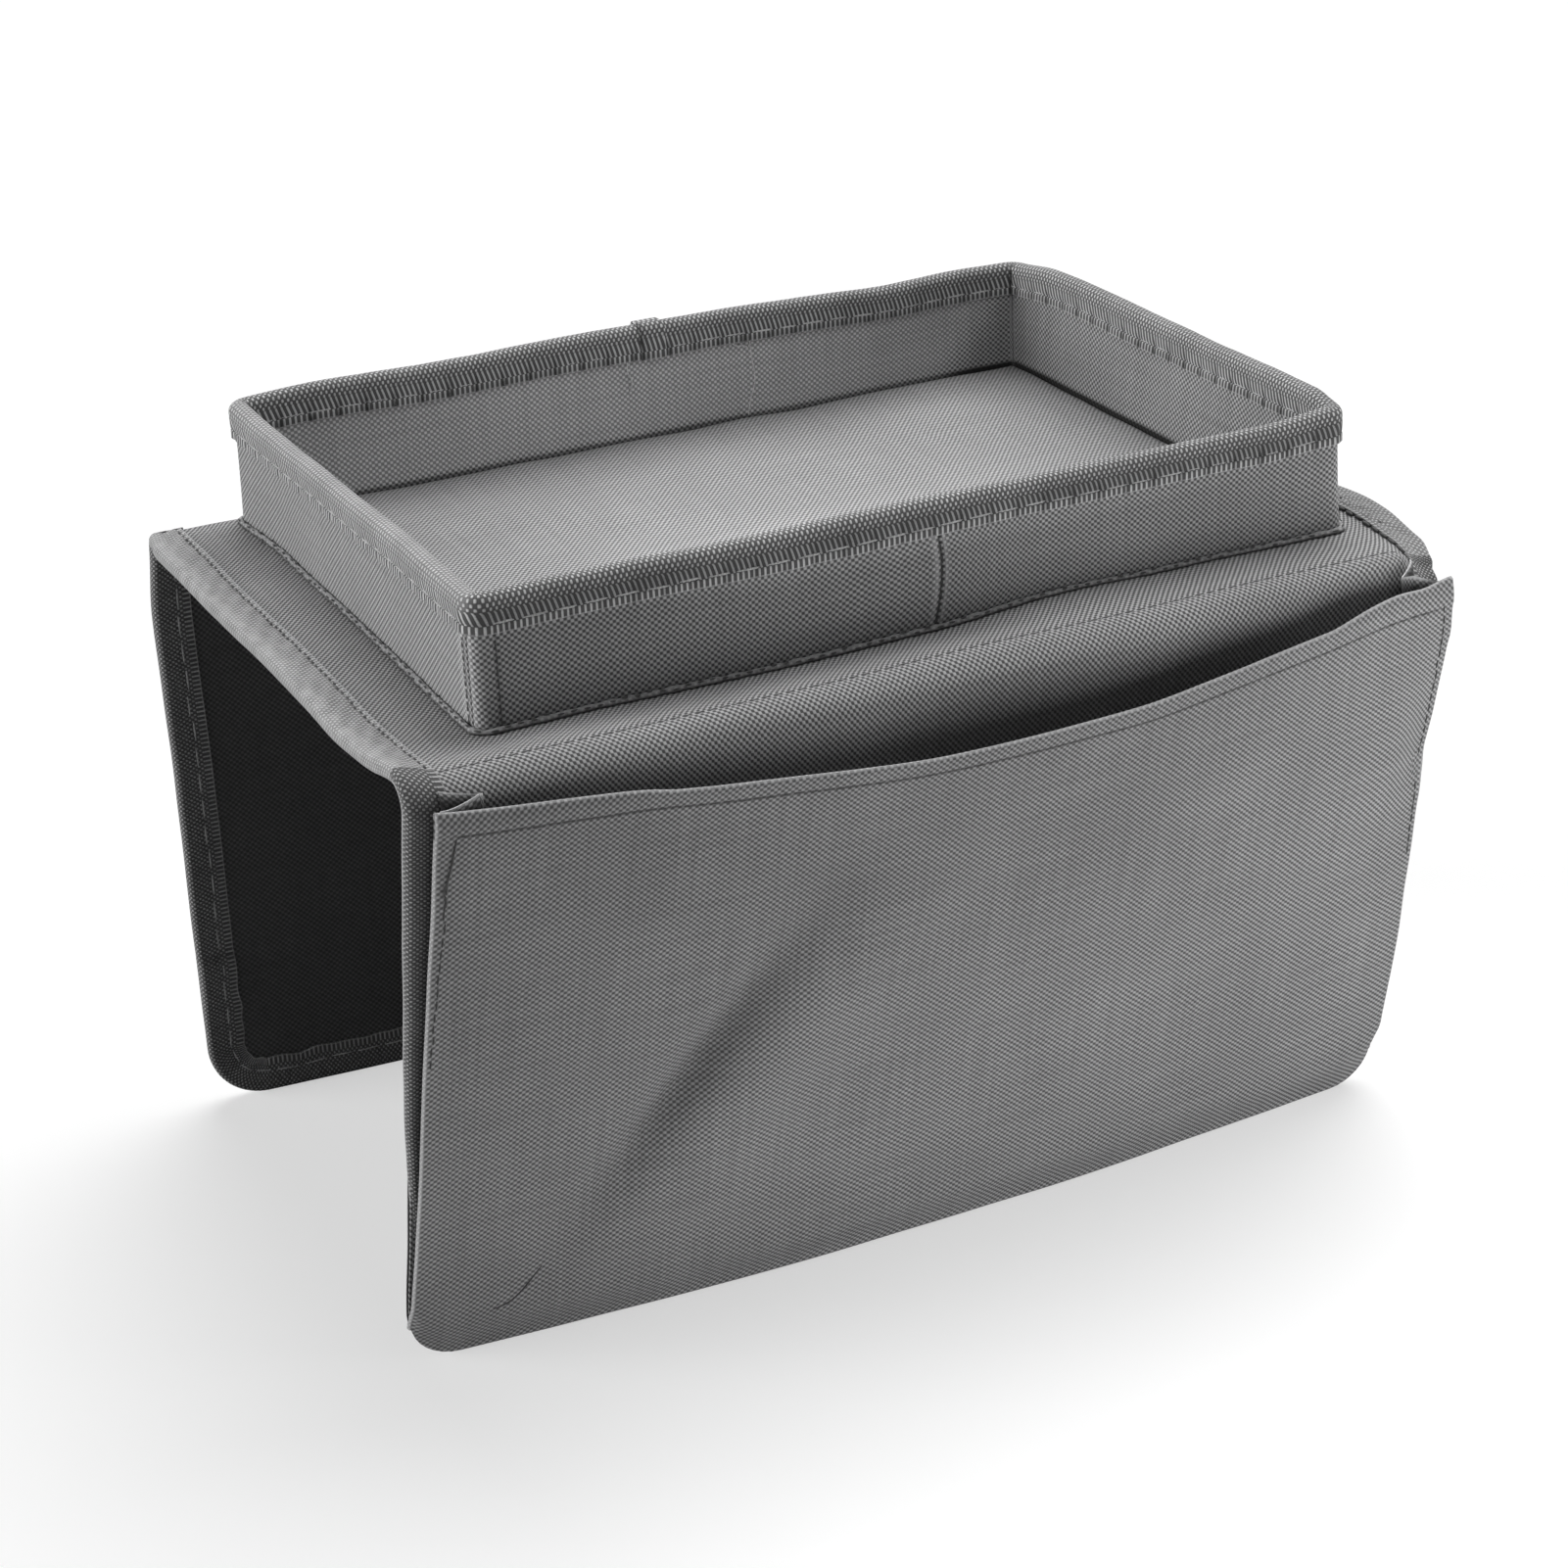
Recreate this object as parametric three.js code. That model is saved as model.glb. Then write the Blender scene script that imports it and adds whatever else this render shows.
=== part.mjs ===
// Armrest tray: a shallow open tray sewn on a saddle of woven cloth that hangs over the arm of a sofa.
// X runs along the armrest, -Y is the side with the pocket, +Y the plain side, +Z is up.
// Everything is in millimetres. While it is made, the middle of the tray is at X = Y = 0 and the upper
// face of the top panel is at Z = 0; the last lines set the part down with its lower edges at Z = 0.
import * as THREE from "three";

// Sheet goods
const clothThickness = 0.7;
const tapeThickness = 0.7;
const saddleBoardThickness = 1.2;
const trayBoardThickness = 1.6;
const clearance = 0.3; // between layers that lie on each other

// Tray
const trayLength = 300;
const trayWidth = 206;
const trayHeight = 40;
const trayCornerRadius = 5;
const rimTapeWidth = 9.5;
const weltWidth = 2; // the folded seam round the foot of the tray
const weltHeight = 1.6;
const weltEdgeHeight = 0.6; // where the welt starts to round over
const cornerSeamInset = 2.5; // from the end of the left front corner to the upright seam beside it

// Saddle
const leftLedge = 35; // from the tray to the left end of the saddle
const rightLedge = 22;
const frontLedge = 23; // from the tray to the stitch line where the front flap folds
const rearLedge = 0.4; // the rear flap folds just behind the tray's rear wall
const flapDrop = 212; // from the top panel to the lower edges that the part stands on
const endTapeWidth = 12;
const foldGap = 1.2; // between the top panel's cloth and a flap's cloth, at the fold
const foldRelief = Math.tan(THREE.MathUtils.degToRad(30)); // slant of the end tapes' ends under the top panel
const liningSetback = 3; // the linings stop this far short of the fold
const boardInset = 4; // from a bound edge to the board inside
const boardCornerRadius = 3;

// Front flap
const frontShoulderRadius = 9;
const frontLean = THREE.MathUtils.degToRad(12.2);
const frontBow = 10; // the middle of the lower edge stands this much further out than its ends
const frontCornerRadiusLeft = 14;
const frontCornerRadiusRight = 24;
const sideTapeLift = 8; // the side tapes end this far above the rounded corners

// Rear flap
const rearShoulderRadius = 4.5;
const rearLean = THREE.MathUtils.degToRad(2);
const rearBow = -8; // the middle of the lower edge stands this much further in than its ends
const rearCornerRadius = 20;
const bowCurve = 1.4; // at 1 a bow grows evenly down its flap, and above 1 mostly low down

// Pocket on the front flap
const mouthInset = 6.5; // from the flap's side edge to the mouth's corner
const lowerInset = 1;
const mouthRise = 4.5; // the mouth's corners stand this far above the end of the shoulder
const mouthSag = 13; // the middle of the mouth hangs this much lower than its corners
const mouthBelly = 12; // the middle of the mouth stands this much further out than its corners
const mouthCurve = 1.4; // at 1 the mouth is a plain arc, and above 1 it is flatter near its corners
const bellyFade = 1.3; // above 1 the belly fades mostly near the mouth
const mouthStandOff = 5; // from the flap's face to the panel at the mouth's corners
const sideStandOff = 3.6; // the same at the lower end of the gussets
const hemHeight = 6.5; // the cloth is turned in and doubled along the mouth
const hemStep = 0.6; // height over which the doubled cloth ends
const seamHeight = 15; // height over which the panel turns in to its lower seam
const pleatDepth = 15; // how far the gusset's crease reaches inwards at the mouth
const pleatFootDepth = 4.5; // the same at the gusset's lower end
const pleatSetback = 1.5; // from the panel's edge to the edges of the folded gusset
const gussetFootHeight = 22; // the gussets end this far above the panel's lower edge

// Sag folds in the pocket's panel. Each lies this far from the saddle's left end and from the fold of the
// flap, runs at this angle from level, fades over its reach and width, and stands out by its height.
const sagCrease = { fromLeft: 105, fromFold: 126, angle: 54, reach: 55, width: 15, height: -2.6 };
const sagRidge = { fromLeft: 133, fromFold: 126, angle: 54, reach: 60, width: 17, height: 2.4 };

// How many flat facets a curve gets
const cornerFacets = 4;
const shoulderFacets = 5;
const tapeFoldFacets = 3;
const hangFacets = 6;
const edgeFacets = 12;
const panelFacets = 9;
const legFacets = 2;
const creaseFacets = 6;

// Where the pieces of the saddle lie
const leftEnd = -trayLength / 2 - leftLedge;
const rightEnd = trayLength / 2 + rightLedge;
const saddleLength = rightEnd - leftEnd;
const saddleMiddle = (leftEnd + rightEnd) / 2;
const frontFold = -trayWidth / 2 - frontLedge;
const rearFold = trayWidth / 2 + rearLedge;
const boardDepth = clothThickness + clearance;
const liningDepth = boardDepth + saddleBoardThickness + clearance;
const saddleThickness = liningDepth + clothThickness;
const tapeOutside = clearance + tapeThickness;

// Where the layers of the tray's wall lie, inwards from the outer cloth's face
const wallBoardDepth = clothThickness + clearance;
const wallLiningDepth = wallBoardDepth + trayBoardThickness + clearance;
const wallThickness = wallLiningDepth + clothThickness;
const wallTop = trayHeight - tapeThickness - clearance;
const floorClothBase = clearance + trayBoardThickness + clearance;

const panelCloth = new THREE.MeshStandardMaterial({ color: 0x868686, roughness: 0.9, metalness: 0 });
const trayCloth = new THREE.MeshStandardMaterial({ color: 0x7a7a7a, roughness: 0.9, metalness: 0 });
const liningCloth = new THREE.MeshStandardMaterial({ color: 0x5a5a5a, roughness: 0.9, metalness: 0 });
const bindingTape = new THREE.MeshStandardMaterial({ color: 0x545454, roughness: 0.85, metalness: 0 });
const stiffBoard = new THREE.MeshStandardMaterial({ color: 0x2e2e2e, roughness: 0.6, metalness: 0 });

const quarterTurn = Math.PI / 2;
const upwards = new THREE.Vector3(0, 0, 1);
const saddle = new THREE.Group();

function addPiece(name, geometry, material) {
  const piece = new THREE.Mesh(geometry, material.clone());
  piece.name = name;
  saddle.add(piece);
  return piece;
}

function steps(count, from = 0, to = 1) {
  return Array.from({ length: count + 1 }, (_, i) => from + ((to - from) * i) / count);
}

// A closed solid from its corners and triangles, with its faces turned outwards
function closedSolid(corners, triangles) {
  let volume = 0;
  for (const [a, b, c] of triangles) {
    volume += corners[a].dot(new THREE.Vector3().crossVectors(corners[b], corners[c]));
  }
  const ordered = volume < 0 ? triangles.map(([a, b, c]) => [a, c, b]) : triangles;
  const positions = corners.flatMap((corner) => corner.toArray());
  const geometry = new THREE.BufferGeometry();
  geometry.setAttribute("position", new THREE.Float32BufferAttribute(positions, 3));
  geometry.setIndex(ordered.flat());
  geometry.computeVertexNormals();
  return geometry;
}

// A sheet of cloth or board between two offsets from a surface. The grid's rows give each point as
// { point, normal, backing }, where backing is how much thicker the sheet is inwards, as along a hem.
function sheet(grid, inner, outer) {
  const rows = grid.length;
  const columns = grid[0].length;
  const places = grid.flat();
  const outside = places.map(({ point, normal }) => point.clone().addScaledVector(normal, outer));
  const inside = places.map(({ point, normal, backing = 0 }) =>
    point.clone().addScaledVector(normal, inner - backing),
  );
  const at = (side, row, column) => side * rows * columns + row * columns + column;
  const triangles = [];
  const addQuad = (a, b, c, d) => triangles.push([a, b, c], [a, c, d]);
  const lastRow = rows - 1;
  const lastColumn = columns - 1;
  for (let r = 0; r < lastRow; r++) {
    for (let c = 0; c < lastColumn; c++) {
      addQuad(at(0, r, c), at(0, r, c + 1), at(0, r + 1, c + 1), at(0, r + 1, c));
      addQuad(at(1, r, c), at(1, r + 1, c), at(1, r + 1, c + 1), at(1, r, c + 1));
    }
    addQuad(at(0, r, 0), at(0, r + 1, 0), at(1, r + 1, 0), at(1, r, 0));
    addQuad(at(0, r + 1, lastColumn), at(0, r, lastColumn), at(1, r, lastColumn), at(1, r + 1, lastColumn));
  }
  for (let c = 0; c < lastColumn; c++) {
    addQuad(at(0, 0, c + 1), at(0, 0, c), at(1, 0, c), at(1, 0, c + 1));
    addQuad(at(0, lastRow, c), at(0, lastRow, c + 1), at(1, lastRow, c + 1), at(1, lastRow, c));
  }
  return closedSolid([...outside, ...inside], triangles);
}

// A profile carried along a row of stations. Each station has an origin and the two directions that
// the profile's coordinates are measured in. A closed sweep joins its last station to its first.
function sweep(stations, profile, closed = false) {
  const corners = stations.flatMap(({ origin, across, up }) =>
    profile.map((p) => origin.clone().addScaledVector(across, p.x).addScaledVector(up, p.y)),
  );
  const sides = profile.length;
  const triangles = [];
  const spans = closed ? stations.length : stations.length - 1;
  for (let i = 0; i < spans; i++) {
    const here = i * sides;
    const next = ((i + 1) % stations.length) * sides;
    for (let k = 0; k < sides; k++) {
      const l = (k + 1) % sides;
      triangles.push([here + k, next + k, next + l], [here + k, next + l, here + l]);
    }
  }
  if (!closed) {
    const lastRing = (stations.length - 1) * sides;
    for (const [a, b, c] of THREE.ShapeUtils.triangulateShape(profile, [])) {
      const [p, q, r] = THREE.ShapeUtils.isClockWise(profile) ? [a, c, b] : [a, b, c];
      triangles.push([p, q, r], [lastRing + p, lastRing + r, lastRing + q]);
    }
  }
  return closedSolid(corners, triangles);
}

// A flat rectangle of board or cloth, lying level with its underside at height base
function levelPlate({ x, y, base, thickness, radius = 0 }) {
  const shape = new THREE.Shape();
  if (radius > 0) {
    shape.absarc(x[1] - radius, y[1] - radius, radius, 0, quarterTurn);
    shape.absarc(x[0] + radius, y[1] - radius, radius, quarterTurn, 2 * quarterTurn);
    shape.absarc(x[0] + radius, y[0] + radius, radius, 2 * quarterTurn, 3 * quarterTurn);
    shape.absarc(x[1] - radius, y[0] + radius, radius, 3 * quarterTurn, 4 * quarterTurn);
  } else {
    shape.moveTo(x[0], y[0]).lineTo(x[1], y[0]).lineTo(x[1], y[1]).lineTo(x[0], y[1]);
  }
  shape.closePath();
  const plate = new THREE.ExtrudeGeometry(shape, {
    depth: thickness,
    bevelEnabled: false,
    curveSegments: cornerFacets,
  });
  return plate.translate(0, 0, base);
}

// Binding tape folded round the edge of a layered piece. The profile's x runs inwards from the edge and
// its y outwards from the outer face; thickness is that of the layers between the two legs.
function bindingProfile(thickness, legWidth) {
  const fold = (y, from) =>
    steps(tapeFoldFacets, from, from + quarterTurn).map(
      (angle) => new THREE.Vector2(tapeOutside * Math.cos(angle), y + tapeOutside * Math.sin(angle)),
    );
  return [
    new THREE.Vector2(legWidth, clearance),
    new THREE.Vector2(legWidth, tapeOutside),
    ...fold(0, quarterTurn),
    ...fold(-thickness, 2 * quarterTurn),
    new THREE.Vector2(legWidth, -thickness - tapeOutside),
    new THREE.Vector2(legWidth, -thickness - clearance),
    new THREE.Vector2(-clearance, -thickness - clearance),
    new THREE.Vector2(-clearance, clearance),
  ];
}

// Top panel: cloth, stiffening board and lining, with tape folded over its two ends. The lining's face
// between the tapes is the one that rests on the arm of the sofa. The tapes' ends are cut back on a slant
// under the top panel, which gives the flaps room to swing in.
function topPanel() {
  const front = frontFold + foldGap / 2;
  const rear = rearFold - foldGap / 2;
  const inner = [front + liningSetback, rear - liningSetback];
  const seat = [leftEnd + endTapeWidth + clearance, rightEnd - endTapeWidth - clearance];
  const cloth = levelPlate({
    x: [leftEnd, rightEnd],
    y: [front, rear],
    base: -clothThickness,
    thickness: clothThickness,
  });
  const board = levelPlate({
    x: [leftEnd + boardInset, rightEnd - boardInset],
    y: inner,
    base: -boardDepth - saddleBoardThickness,
    thickness: saddleBoardThickness,
    radius: boardCornerRadius,
  });
  const lining = inner.map((y) =>
    [leftEnd, ...seat, rightEnd].map((x) => ({ point: new THREE.Vector3(x, y, 0), normal: upwards })),
  );
  addPiece("top_panel_cloth", cloth, panelCloth);
  addPiece("top_panel_board", board, stiffBoard);
  addPiece("top_panel_lining", sheet(lining, -saddleThickness, -liningDepth), liningCloth);

  const profile = bindingProfile(saddleThickness, endTapeWidth);
  for (const [name, end, inwards] of [["left_end_tape", leftEnd, 1], ["right_end_tape", rightEnd, -1]]) {
    const across = new THREE.Vector3(inwards, 0, 0);
    const stations = [[front, -foldRelief], [rear, foldRelief]].map(([y, slant]) => ({
      origin: new THREE.Vector3(end, y, 0),
      across,
      up: new THREE.Vector3(0, slant, 1),
    }));
    addPiece(name, sweep(stations, profile), bindingTape);
  }
}

// Stations round the tray's corners, from the right front one by the right rear and left rear ones to the
// left front one. Across points outwards from the outer cloth's face.
function trayCorner(index) {
  const signX = index < 2 ? 1 : -1;
  const signY = index === 1 || index === 2 ? 1 : -1;
  const centre = new THREE.Vector3(
    signX * (trayLength / 2 - trayCornerRadius),
    signY * (trayWidth / 2 - trayCornerRadius),
    0,
  );
  return steps(cornerFacets, (index - 1) * quarterTurn, index * quarterTurn).map((angle) => {
    const across = new THREE.Vector3(Math.cos(angle), Math.sin(angle), 0);
    const origin = centre.clone().addScaledVector(across, trayCornerRadius);
    return { origin, across, up: upwards };
  });
}

function trayFrontStation(x) {
  return { origin: new THREE.Vector3(x, -trayWidth / 2, 0), across: new THREE.Vector3(0, -1, 0), up: upwards };
}

function band(from, to, base, top) {
  return [
    new THREE.Vector2(from, base),
    new THREE.Vector2(to, base),
    new THREE.Vector2(to, top),
    new THREE.Vector2(from, top),
  ];
}

// Tray: four wall boards between an outer strip in two lengths and a lining, a floor of board and cloth,
// a folded seam round the foot and tape folded over the rim. The seam stops at the rear corners, because
// behind the tray it is the fold of the rear flap.
function tray() {
  const round = [0, 1, 2, 3].flatMap(trayCorner);
  const cornerSeam = -trayLength / 2 + trayCornerRadius + cornerSeamInset;
  const outerBand = band(-clothThickness, 0, clearance, wallTop);
  const longWay = [trayFrontStation(clearance / 2), ...round, trayFrontStation(cornerSeam - clearance / 2)];
  const shortWay = [trayFrontStation(cornerSeam + clearance / 2), trayFrontStation(-clearance / 2)];
  addPiece("tray_outer_strip_long", sweep(longWay, outerBand), trayCloth);
  addPiece("tray_outer_strip_short", sweep(shortWay, outerBand), trayCloth);
  const innerBand = band(-wallThickness, -wallLiningDepth, clearance, wallTop);
  addPiece("tray_lining", sweep(round, innerBand, true), trayCloth);

  const welt = [
    new THREE.Vector2(clearance, clearance),
    new THREE.Vector2(clearance + weltWidth, clearance),
    ...steps(cornerFacets, 0, quarterTurn).map((angle) => new THREE.Vector2(
      clearance + weltWidth * Math.cos(angle),
      clearance + weltEdgeHeight + (weltHeight - weltEdgeHeight) * Math.sin(angle),
    )),
  ];
  const pastRear = cornerFacets / 2;
  const leftRound = [...trayCorner(2).slice(pastRear), ...trayCorner(3)];
  const rightRound = [...trayCorner(0), ...trayCorner(1).slice(0, -pastRear)];
  addPiece("tray_foot_seam", sweep([...leftRound, ...rightRound], welt), trayCloth);

  const wallHeight = wallTop - clearance;
  const insideCorner = trayCornerRadius + clearance;
  const longWall = trayLength - 2 * insideCorner;
  const shortWall = trayWidth - 2 * insideCorner;
  const wallX = trayLength / 2 - wallBoardDepth - trayBoardThickness / 2;
  const wallY = trayWidth / 2 - wallBoardDepth - trayBoardThickness / 2;
  const walls = [
    ["tray_wall_board_front", 0, -wallY, longWall, trayBoardThickness],
    ["tray_wall_board_rear", 0, wallY, longWall, trayBoardThickness],
    ["tray_wall_board_left", -wallX, 0, trayBoardThickness, shortWall],
    ["tray_wall_board_right", wallX, 0, trayBoardThickness, shortWall],
  ];
  for (const [name, x, y, sizeX, sizeY] of walls) {
    const board = addPiece(name, new THREE.BoxGeometry(sizeX, sizeY, wallHeight), stiffBoard);
    board.position.set(x, y, clearance + wallHeight / 2);
  }

  const floorX = trayLength / 2 - wallThickness - clearance;
  const floorY = trayWidth / 2 - wallThickness - clearance;
  const floorOutline = {
    x: [-floorX, floorX],
    y: [-floorY, floorY],
    radius: Math.max(trayCornerRadius - wallThickness, clearance),
  };
  const floorBoard = levelPlate({ ...floorOutline, base: clearance, thickness: trayBoardThickness });
  const floorCloth = levelPlate({ ...floorOutline, base: floorClothBase, thickness: clothThickness });
  addPiece("tray_floor_board", floorBoard, stiffBoard);
  addPiece("tray_floor_cloth", floorCloth, trayCloth);

  const downwards = new THREE.Vector3(0, 0, -1);
  const rim = round.map(({ origin, across }) => ({
    origin: origin.clone().setZ(wallTop),
    across: downwards,
    up: across,
  }));
  addPiece("tray_rim_tape", sweep(rim, bindingProfile(wallThickness, rimTapeWidth), true), bindingTape);
}

// A flap's outer face. It leaves its fold level, turns down round its shoulder and hangs straight with its
// lean, and its lower part is bowed. Its places are given as x and the distance from the fold along the cloth.
function flapSurface(fold, facing, shoulderRadius, lean, bow) {
  const turn = quarterTurn + lean;
  const shoulderLength = shoulderRadius * turn;
  const shoulderDrop = shoulderRadius * (1 - Math.cos(turn));
  const hangLength = (flapDrop - shoulderDrop) / Math.cos(lean);
  const point = (x, along) => {
    const angle = THREE.MathUtils.clamp(along / shoulderRadius, 0, turn);
    const hang = Math.max(along - shoulderLength, 0);
    const before = Math.min(along, 0);
    const fromMiddle = (x - saddleMiddle) / (saddleLength / 2);
    const bowed = bow * (1 - fromMiddle ** 2) * (hang / hangLength) ** bowCurve;
    const out = shoulderRadius * Math.sin(angle) + hang * Math.cos(turn) + before + bowed;
    const down = shoulderRadius * (1 - Math.cos(angle)) + hang * Math.sin(turn);
    return new THREE.Vector3(x, fold + facing * out, -down);
  };
  const at = (x, along) => {
    const near = clearance / 10;
    const alongX = point(x + near, along).sub(point(x - near, along)).normalize();
    const downwards = point(x, along + near).sub(point(x, along - near)).normalize();
    const normal = new THREE.Vector3().crossVectors(alongX, downwards).multiplyScalar(facing).normalize();
    return { point: point(x, along), normal, alongX, downwards };
  };
  return { at, facing, shoulderLength, length: shoulderLength + hangLength };
}

// The outline of a flap or of a layer inside it: its side edges, its lower edge and its lower corners
function flapOutline(length, inset, radiusLeft, radiusRight) {
  const left = leftEnd + inset;
  const right = rightEnd - inset;
  const lower = length - inset;
  const cornerLeft = Math.max(radiusLeft - inset, clearance);
  const cornerRight = Math.max(radiusRight - inset, clearance);
  const cornerRise = (radius, fromEdge) => {
    const level = radius - THREE.MathUtils.clamp(fromEdge, 0, radius);
    return radius - Math.sqrt(radius ** 2 - level ** 2);
  };
  const lowerAt = (x) => lower - cornerRise(cornerLeft, x - left) - cornerRise(cornerRight, right - x);
  const columns = [
    ...steps(cornerFacets, 0, quarterTurn).map((angle) => left + cornerLeft * (1 - Math.cos(angle))),
    ...steps(edgeFacets, left + cornerLeft, right - cornerRight).slice(1, -1),
    ...steps(cornerFacets, quarterTurn, 0).map((angle) => right - cornerRight * (1 - Math.cos(angle))),
  ];
  return { left, right, lower, cornerLeft, cornerRight, lowerAt, columns };
}

// A layer of a flap from one distance below the fold to its outline
function flapLayer(surface, outline, from, inner, outer) {
  const level = (along) => outline.columns.map((x) => surface.at(x, along));
  const shoulderEnd = Math.max(from, surface.shoulderLength);
  const shoulder = steps(shoulderFacets, 0, shoulderEnd).filter((along) => along > from && along < shoulderEnd);
  const grid = [level(from), ...shoulder.map(level)];
  const hang = from < shoulderEnd ? steps(hangFacets) : steps(hangFacets).slice(1);
  for (const share of hang) {
    grid.push(outline.columns.map((x) =>
      surface.at(x, THREE.MathUtils.lerp(shoulderEnd, outline.lowerAt(x), share)),
    ));
  }
  return sheet(grid, inner, outer);
}

// The cloth, board and lining of a flap
function flapLayers(side, surface, radiusLeft, radiusRight, edgeInset) {
  const outline = flapOutline(surface.length, edgeInset, radiusLeft, radiusRight);
  const boardOutline = flapOutline(surface.length, edgeInset + boardInset, radiusLeft, radiusRight);
  const boardBack = boardDepth + saddleBoardThickness;
  const cloth = flapLayer(surface, outline, foldGap / 2, -clothThickness, 0);
  const board = flapLayer(surface, boardOutline, surface.shoulderLength, -boardBack, -boardDepth);
  const lining = flapLayer(surface, outline, liningSetback, -saddleThickness, -liningDepth);
  addPiece(`${side}_flap_cloth`, cloth, panelCloth);
  addPiece(`${side}_flap_board`, board, stiffBoard);
  addPiece(`${side}_flap_lining`, lining, liningCloth);
  return outline;
}

// A station for binding tape on a flap's edge. The inward direction is given as its share along X and
// its share down the cloth.
function edgeStation(surface, x, along, inwardX, inwardDown) {
  const { point, normal, alongX, downwards } = surface.at(x, along);
  const across = new THREE.Vector3().addScaledVector(alongX, inwardX).addScaledVector(downwards, inwardDown);
  return { origin: point, across: across.normalize(), up: normal };
}

function sideStations(surface, outline, left, to) {
  const shoulder = steps(shoulderFacets, foldGap / 2, surface.shoulderLength);
  const hang = steps(hangFacets, surface.shoulderLength, to).slice(1);
  const x = left ? outline.left : outline.right;
  return [...shoulder, ...hang].map((along) => edgeStation(surface, x, along, left ? 1 : -1, 0));
}

// Rear flap, bound all round with one length of tape
function rearFlap() {
  const surface = flapSurface(rearFold, 1, rearShoulderRadius, rearLean, rearBow);
  const outline = flapLayers("rear", surface, rearCornerRadius, rearCornerRadius, tapeOutside);
  const corner = (left) => {
    const radius = left ? outline.cornerLeft : outline.cornerRight;
    const outwards = left ? -1 : 1;
    const centreX = left ? outline.left + radius : outline.right - radius;
    return steps(shoulderFacets, 0, quarterTurn).slice(1).map((angle) => {
      const x = centreX + outwards * radius * Math.cos(angle);
      const along = outline.lower - radius + radius * Math.sin(angle);
      return edgeStation(surface, x, along, -outwards * Math.cos(angle), -Math.sin(angle));
    });
  };
  const lowerEdge = steps(edgeFacets, outline.left + outline.cornerLeft, outline.right - outline.cornerRight);
  const stations = [
    ...sideStations(surface, outline, true, outline.lower - outline.cornerLeft),
    ...corner(true),
    ...lowerEdge.slice(1, -1).map((x) => edgeStation(surface, x, outline.lower, 0, -1)),
    ...corner(false).reverse(),
    ...sideStations(surface, outline, false, outline.lower - outline.cornerRight).reverse(),
  ];
  addPiece("rear_flap_tape", sweep(stations, bindingProfile(saddleThickness, endTapeWidth)), bindingTape);
}

// Front flap, with tape down its two side edges; the pocket's seam closes its lower edge
function frontFlap(surface) {
  const outline = flapLayers("front", surface, frontCornerRadiusLeft, frontCornerRadiusRight, 0);
  const profile = bindingProfile(saddleThickness, endTapeWidth);
  for (const left of [true, false]) {
    const radius = left ? outline.cornerLeft : outline.cornerRight;
    const stations = sideStations(surface, outline, left, outline.lower - radius - sideTapeLift);
    addPiece(`front_flap_tape_${left ? "left" : "right"}`, sweep(stations, profile), bindingTape);
  }
}

// How far a sag fold lifts the pocket's panel from its plain shape
function sagAt(fold, x, along) {
  const angle = THREE.MathUtils.degToRad(fold.angle);
  const offX = x - leftEnd - fold.fromLeft;
  const offDown = along - fold.fromFold;
  const lengthwise = (-offX * Math.cos(angle) + offDown * Math.sin(angle)) / fold.reach;
  const sideways = (offX * Math.sin(angle) + offDown * Math.cos(angle)) / fold.width;
  return fold.height * Math.exp(-(sideways ** 2)) * Math.exp(-(lengthwise ** 2));
}

// The pocket's panel. Across it runs from -1 at the left side to 1 at the right, and down from 0 at the
// mouth to 1 at the lower seam. Its places are given as on the flap's face, with the distance to that face.
function pocketPlace(surface, outline, across, down) {
  const inset = THREE.MathUtils.lerp(mouthInset, lowerInset, down);
  const x = saddleMiddle + across * (saddleLength / 2 - inset);
  const fullness = Math.max(1 - across ** 2, 0) ** mouthCurve;
  const mouth = surface.shoulderLength - mouthRise + mouthSag * fullness;
  const foot = outline.lowerAt(x) - clearance;
  const along = THREE.MathUtils.lerp(mouth, foot, down);
  const sides = THREE.MathUtils.lerp(mouthStandOff, sideStandOff, down);
  const belly = mouthBelly * fullness * Math.max(1 - down, 0) ** bellyFade;
  const awayFromSides = 1 - across ** 6;
  const sag = (sagAt(sagCrease, x, along) + sagAt(sagRidge, x, along)) * awayFromSides;
  const seam = THREE.MathUtils.smoothstep(along, foot - seamHeight, foot);
  const standOff = clearance + (sides - clearance + belly + sag) * (1 - seam);
  return { x, along, standOff, belowMouth: along - mouth };
}

function pocketPoint(surface, outline, across, down) {
  const { x, along, standOff } = pocketPlace(surface, outline, across, down);
  const { point, normal } = surface.at(x, along);
  return point.addScaledVector(normal, standOff);
}

// A point and normal of any surface that is given by a function of two shares
function surfacePoint(place, across, down, facing) {
  const near = 1 / 1000;
  const sideways = place(across + near, down).sub(place(across - near, down));
  const downwards = place(across, down + near).sub(place(across, down - near));
  const normal = new THREE.Vector3().crossVectors(sideways, downwards).multiplyScalar(facing).normalize();
  return { point: place(across, down), normal };
}

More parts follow.
